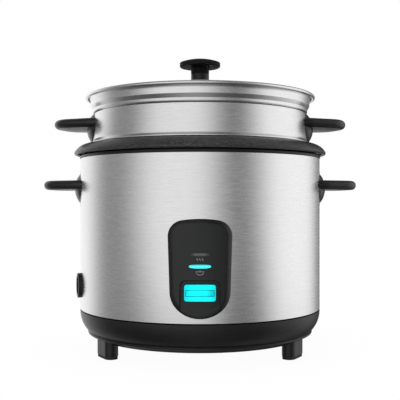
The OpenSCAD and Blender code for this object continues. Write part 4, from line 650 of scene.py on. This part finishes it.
def arch_depth(flat):
    """How deep the key's recess lies under the panel's face: full inside an arch with round corners, open at its foot,
    and falling to nothing over its edge."""
    across = np.abs(flat[..., 0]) - (ARCH_HALF_W - ARCH_R)
    up = flat[..., 1] - (ARCH_TOP - ARCH_R)
    away = np.hypot(np.maximum(across, 0), np.maximum(up, 0)) + np.minimum(np.maximum(across, up), 0) - ARCH_R
    return ARCH_DEPTH * smooth_step(-away, *ARCH_EDGE)


def panel_skin():
    """A bevelled shield on the drum: rows run from the spine of its back out to its edge, up the edge and the
    rounded bevel, and over the face in to the spine. The key's recess is pressed into the face and runs out over the
    bevel, where it stops at the edge's level and drops a little to the outline."""
    inset = PANEL_BEVEL * np.linspace(0, 1, 15)
    rise = PANEL_EDGE_R + (PANEL_FACE_R - PANEL_EDGE_R) * (1 - (1 - inset / PANEL_BEVEL) ** 2)
    bevel = [(0, PANEL_BACK_R), *zip(inset, rise)]

    def inward(loop, shares):
        spine = np.stack([0 * loop[:, 0], np.clip(loop[:, 1], *PANEL_SPINE)], -1)
        return spine + shares[:, None, None] * (loop - spine)

    def open_foot(i, r):
        lowest = min(r, PANEL_EDGE_R - PANEL_FOOT_DROP * (1 - i / PANEL_BEVEL) ** 4)
        return np.maximum(lowest, r - arch_depth(panel_outline(i)))

    back = on_drum(inward(panel_outline(0), np.linspace(0, 0.96, 8)), PANEL_BACK_R)
    edge = np.stack([on_drum(panel_outline(i), open_foot(i, r)) for i, r in bevel])
    face = inward(panel_outline(PANEL_BEVEL), np.linspace(1, 0, 90)[1:])
    return np.concatenate([back, edge, on_drum(face, PANEL_FACE_R - arch_depth(face))])


def lens_skin(z):
    """A slim lens: its outline is a long ellipse with blunted ends, (a |cos t|^0.7, b |sin t|^0.9) with the signs of
    cos t and sin t, and its face rises from the panel to a low crown."""
    t = np.linspace(0, 2 * np.pi, 161)
    loop = np.stack([LENS_HALF_W * np.sign(np.cos(t)) * np.abs(np.cos(t)) ** 0.7,
                     LENS_HALF_H * np.sign(np.sin(t)) * np.abs(np.sin(t)) ** 0.9], -1)
    inwards = np.linspace(1, 0, 16)
    share = np.concatenate([[0, 0.5, 1], inwards])
    r = np.concatenate([[PANEL_FACE_R - LENS_IN] * 3, PANEL_FACE_R + LENS_OUT * (1 - inwards ** 2)])
    return on_drum(share[:, None, None] * loop + np.array([0, z]), r[:, None])


def key_skin():
    """A rounded block with a sunk band: rows run from the middle of its back out to its edge, forward, round the front
    edge and in over the face, which lies deeper by a smooth step inside the band."""
    corner = arc(0, 0, KEY_CORNER_R, 0, 90, 10)
    x, z = KEY_HALF_W - KEY_CORNER_R, KEY_HALF_H - KEY_CORNER_R
    share = np.linspace(-1, 1, 60)[1:-1, None]
    top = np.concatenate([-share * x, 0 * share + KEY_HALF_H], -1)
    right = np.concatenate([0 * share + KEY_HALF_W, share * z], -1)
    loop = closed(np.concatenate([corner + (x, z), top, corner[::-1] * (-1, 1) + (-x, z), right[::-1] * (-1, 1),
                                  corner * (-1, -1) + (-x, -z), -top, corner[::-1] * (1, -1) + (x, -z), right]))
    back, face = np.linspace(KEY_HALF_H, 0, 6), np.linspace(KEY_ROUND[-1], KEY_HALF_H, 50)
    inset = np.concatenate([back, KEY_ROUND[:-1], face])
    y = np.concatenate([0 * back + KEY_BACK_Y, KEY_FRONT_Y + KEY_ROUND[:0:-1], 0 * face + KEY_FRONT_Y])
    spine_end = KEY_HALF_W - KEY_HALF_H
    spine = np.stack([np.clip(loop[:, 0], -spine_end, spine_end), 0 * loop[:, 0]], -1)
    flat = spine + (1 - inset / KEY_HALF_H)[:, None, None] * (loop - spine)
    away = np.maximum(np.abs(flat[..., 0]) - KEY_BAND_HALF_W, np.abs(flat[..., 1]) - KEY_BAND_HALF_H)
    sunk = KEY_BAND_DEPTH * smooth_step(-away, *KEY_BAND_EDGE)
    sunk[:-len(face)] = 0
    return np.stack([flat[..., 0], y[:, None] + sunk, KEY_Z + flat[..., 1]], -1)


def mark_stroke(path):
    """A printed line on the panel's face: a flat band along a drawn path, closed at both ends."""
    rows = [beside(path, side * MARK_W / 2) for side in (-0.5, -1, 1, 0.5, -0.5)]
    for row in rows:
        row[[0, -1]] = path[[0, -1]]
    proud = MARK_OUT * np.array([0, 1, 1, 0, 0])[:, None]
    return on_drum(np.stack(rows), PANEL_FACE_R + proud)


up = np.linspace(0, 1, 17)
heat_waves = [np.stack([x + WAVE_SWING * np.sin(2 * np.pi * up), WAVE_Z + WAVE_H * up], -1) for x in WAVE_X]
pan = [arc(0, 0, PAN_R, 180, 360, 24) * [1, PAN_FLAT] + [0, PAN_Z],
       np.stack([PAN_LID_W * (up - 0.5), PAN_LID_Z + 0 * up], -1),
       np.stack([PAN_KNOB_W * (up - 0.5), PAN_KNOB_Z + 0 * up], -1)]
piece("heat_mark", "base_unit", mark_paint, "panel_plastic", *map(mark_stroke, heat_waves))
piece("pan_mark", "base_unit", mark_paint, "panel_plastic", *map(mark_stroke, pan))
piece("panel_skin", "base_unit", panel_plastic, "panel_plastic", panel_skin(), replaces=["control_panel"], crease=50)
piece("warm_lens_skin", "base_unit", dark_lens, "dark_lens", lens_skin(WARM_Z), replaces=["warm_lens"])
piece("cook_lens_skin", "base_unit", lit_lens, "lit_cyan", lens_skin(COOK_Z), replaces=["cook_lens"])
piece("key_skin", "cook_lever", painted_glow_key, "lit_cyan", key_skin(), replaces=["cook_key"], crease=60)


# Power inlet: a flanged cup turned about its own level axis

inlet_profile = [(0, INLET_END), (INLET_TUBE_R, INLET_END), (INLET_TUBE_R, INLET_FLANGE_BACK),
                 (INLET_FLANGE_R, INLET_FLANGE_BACK), (INLET_FLANGE_R, INLET_FACE), (INLET_CAVITY_R, INLET_FACE),
                 (INLET_CAVITY_R, INLET_FLOOR), (0, INLET_FLOOR)]
off_axis = rounded_corners(inlet_profile, INLET_EDGES)[CORNER_STEPS + 1:-CORNER_STEPS - 2]
inlet_round = np.concatenate([[(0, INLET_END)], off_axis, [(0, INLET_FLOOR)]])
inlet = lathe(inlet_round, 96)[..., [2, 0, 1]] + [0, 0, INLET_Z]
piece("inlet_skin", "base_unit", black_plastic, "black_plastic", turned(inlet, INLET_ANGLE),
      replaces=["inlet_housing"])


# Spring under the thermostat's cap, and the inner wires

climb = np.linspace(0, 1, SPRING_TURNS * 40 + 1)
wind = 2 * np.pi * SPRING_TURNS * climb
coil = np.stack([SPRING_R * np.cos(wind), SPRING_R * np.sin(wind),
                 SPRING_FROM + SPRING_WIRE_R + climb * (SPRING_TO - SPRING_FROM - 2 * SPRING_WIRE_R)], -1)
spring = piece("spring_skin", "base_unit", zinc_steel, "zinc_steel", tube(coil, SPRING_WIRE_R, 12),
               replaces=["thermostat_spring"])
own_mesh(spring)


def inlet_tail(degrees):
    """The end of an inlet contact's tail, which stands at that angle about the inlet's axis."""
    a, c = math.radians(INLET_ANGLE), math.radians(degrees)
    side, up = CONTACT_R * math.cos(c), CONTACT_R * math.sin(c)
    return np.array([CONTACT_END * math.cos(a) - side * math.sin(a), CONTACT_END * math.sin(a) + side * math.cos(a),
                     INLET_Z + up])


into = -np.array([math.cos(math.radians(INLET_ANGLE)), math.sin(math.radians(INLET_ANGLE)), 0])
leave = [[inlet_tail(d) + SEAT_GAP * into, inlet_tail(d) + 6 * WIRE_R * into] for d in (270, 30, 150)]
under = [[(x, TERMINAL[1], TERMINAL_Z - 4 * WIRE_R), (x, TERMINAL[1], TERMINAL_Z - SEAT_GAP)]
         for x in (-TERMINAL[0], TERMINAL[0])]
fuse_ends = [(FUSE[0] + s * (FUSE_HALF_L + SEAT_GAP), FUSE[1], FUSE[2]) for s in (-1, 1)]
earth_wire = leave[0] + [(-98, -27, 62), (-90, -23, 62), (-84.3, -20, 67), (-84, -20, LINER_Z - 3 * WIRE_R),
                         (-84, -20, LINER_Z - SEAT_GAP)]
fuse_wire = leave[2] + [(-97, -17, 69), (-84, 4, 61), (-72, 20, 66), (-63, 24.5, 72),
                        (fuse_ends[0][0] - 4 * WIRE_R, FUSE[1], FUSE[2]), fuse_ends[0]]
link_wire = [fuse_ends[1], (-29, 26, 71.5), (-25, 38, 63), (-28, 54, 59)] + under[0]
return_wire = leave[1] + [(-93, -36, 66), (-72, -24, 54), (-32, 16, 47), (6, 42, 48), (26, 56, 55)] + under[1]
piece("wiring_skin", "base_unit", wire_jacket, "wire_jacket",
      *(tube(spline(w, 12), WIRE_R, 14) for w in (earth_wire, fuse_wire, link_wire, return_wire)), replaces=["wiring"])


# CAD nodes that keep their mesh

kept = {
    black_plastic: ["bottom_cover"], pad_rubber: ["foot_pads"],
    zinc_steel: ["base_screws", "body_handle_screws", "heater_posts", "magnet_rod", "lever_bracket", "lever_pin",
                 "lever_arm", "panel_screws", "board_screws", "steamer_handle_screws", "lid_band", "knob_screw",
                 "vent_grommet"],
    liner_sheet: ["inner_liner", "thermostat_guide"], cast_aluminium: ["heating_plate", "thermostat_cap"],
    ceramic: ["heater_terminals", "thermal_fuse"], mica_band: ["keep_warm_band"],
    ferrite: ["thermostat_ferrite", "lift_magnet"], inner_plastic: ["microswitch", "inlet_nut"],
    red_plastic: ["switch_button"], circuit_board: ["lamp_board"], lit_lens: ["indicator_lamps"],
    contact_brass: ["inlet_pins"], clear_glass: ["lid_glass"], silicone: ["knob_gaskets"],
}
for material, names in kept.items():
    for name in names:
        for slot in nodes[name].material_slots:
            slot.material = material


# Studio: floor, world with the screens that metal mirrors, lamps and camera

def stage_mesh(name, grid, material):
    """A piece of the studio from a grid of points in metres."""
    rows, cols = grid.shape[:2]
    index = np.arange(rows * cols).reshape(rows, cols)
    quads = np.stack([index[:-1, :-1], index[:-1, 1:], index[1:, 1:], index[1:, :-1]], -1).reshape(-1, 4)
    mesh = bpy.data.meshes.new(name)
    mesh.from_pydata(grid.reshape(-1, 3).tolist(), [], quads.tolist())
    mesh.materials.append(material)
    o = bpy.data.objects.new(name, mesh)
    scene.collection.objects.link(o)
    return o


def light_path(tree):
    """1 for rays from the camera, in mirrors and through glass, 0 for the light that falls on things."""
    start = Field(tree)
    rays = [start.node("ShaderNodeLightPath", None, None, k)
            for k in ("Is Camera Ray", "Is Glossy Ray", "Is Transmission Ray")]
    total = rays[0] + rays[1] + rays[2]
    return total.math("MINIMUM", total, 1.0)


floor_paint = bpy.data.materials.new("floor_paint")
floor_paint.use_nodes = True
tree = floor_paint.node_tree
tree.nodes.remove(tree.nodes["Principled BSDF"])
place = Field(tree).node("ShaderNodeTexCoord", None, None, "Object")
x, y, _ = place.parts()
white_share = light_path(tree) * (0.965 + ((x * x + y * y) ** 0.5).ramp(0.14, 0.42) * 0.035)
paper = place.node("ShaderNodeBsdfDiffuse", None, {"Color": (0.9, 0.9, 0.9, 1)})
white = place.node("ShaderNodeEmission", None, {"Color": (1, 1, 1, 1), "Strength": 1.0})
mixed = place.node("ShaderNodeMixShader", None, {0: white_share, 1: paper, 2: white})
tree.links.new(mixed.socket, tree.nodes["Material Output"].inputs["Surface"])
ring = np.linspace(0, 2 * np.pi, 97)
spread = np.array([0.0, 0.2, 0.5, 1.0, 2.0, 4.0])[:, None]
floor_gap = 0.0004
disc = np.stack([spread * np.cos(ring), spread * np.sin(ring), 0 * spread * ring - floor_gap], -1)
floor = stage_mesh("floor", disc, floor_paint)
floor.visible_glossy = False


def studio_screens(way):
    """What the metal mirrors: a pale studio, a little dimmer in front, with soft dark screens to the right of the
    viewer, to the left and far behind on the right, a dark floor close by and a dim ceiling. The glow depends on the
    way that is looked: each screen is one smooth step in and one out over the heading, in degrees from the front,
    counted towards the right, and floor and ceiling are a smooth step each over the height. The two front screens
    widen towards the right below the horizon."""
    x, y, z = way.parts()
    heading = x.math("ARCTAN2", x, 0 - y) * (180 / math.pi)
    aside = heading.math("ABSOLUTE", heading)
    widened = heading + z.math("MINIMUM", z, 0) * 33
    right = heading.ramp(-5, 35) * (1 - widened.ramp(36, 76))
    left = heading.ramp(-131, -96) * (1 - widened.ramp(-80, -37))
    behind = heading.ramp(118, 150) * (1 - heading.ramp(160, 176))
    below, above = 1 - z.ramp(-0.6, -0.15), z.ramp(0.35, 0.75)
    pale = 0.85 + aside.ramp(40, 90) * 0.15 + (1 - heading.ramp(-150, -124)) * 0.14
    screens = (1 - right * 0.82) * (1 - left * 0.76) * (1 - behind * 0.88)
    return pale * screens * (1 - below * 0.62) * (1 - above * 0.6)


world = bpy.data.worlds.new("studio")
scene.world = world
world.use_nodes = True
tree = world.node_tree
way = Field(tree).node("ShaderNodeTexCoord", None, None, "Object")
seen, mirrored, through = (way.node("ShaderNodeLightPath", None, None, k)
                           for k in ("Is Camera Ray", "Is Glossy Ray", "Is Transmission Ray"))
white = seen.math("MAXIMUM", seen, through)
mirror = mirrored * (1 - white)
strength = white + mirror * studio_screens(way) + (1 - white - mirror) * 0.75
tree.links.new(strength.socket, tree.nodes["Background"].inputs["Strength"])
tree.nodes["Background"].inputs["Color"].default_value = (1, 1, 1, 1)


def soft_lamp(name, place, aim, size, watts):
    """A square lamp at a place, turned to its aim, that no mirror shows."""
    lamp = bpy.data.lights.new(name, "AREA")
    lamp.shape, lamp.size, lamp.energy = "SQUARE", size, watts
    o = bpy.data.objects.new(name, lamp)
    o.location = place
    d = np.subtract(aim, place)
    o.rotation_euler = (math.atan2(math.hypot(d[0], d[1]), -d[2]), 0, math.atan2(-d[0], d[1]))
    scene.collection.objects.link(o)
    o.visible_glossy = False


soft_lamp("lamp_front_left", (-1.1, -1.5, 1.5), (0, 0, 0.15), 1.2, 14)
soft_lamp("lamp_top", (0.2, -0.1, 1.8), (0, 0, 0.15), 1.4, 10)

camera = bpy.data.cameras.new("camera")
camera.sensor_width, camera.lens, camera.shift_y = 36, 66.96, 0.011
viewer = bpy.data.objects.new("camera", camera)
viewer.location, viewer.rotation_euler = (0, -0.819, 0.157), (math.pi / 2, 0, 0)
scene.collection.objects.link(viewer)
scene.camera = viewer
scene.view_settings.view_transform = "Standard"
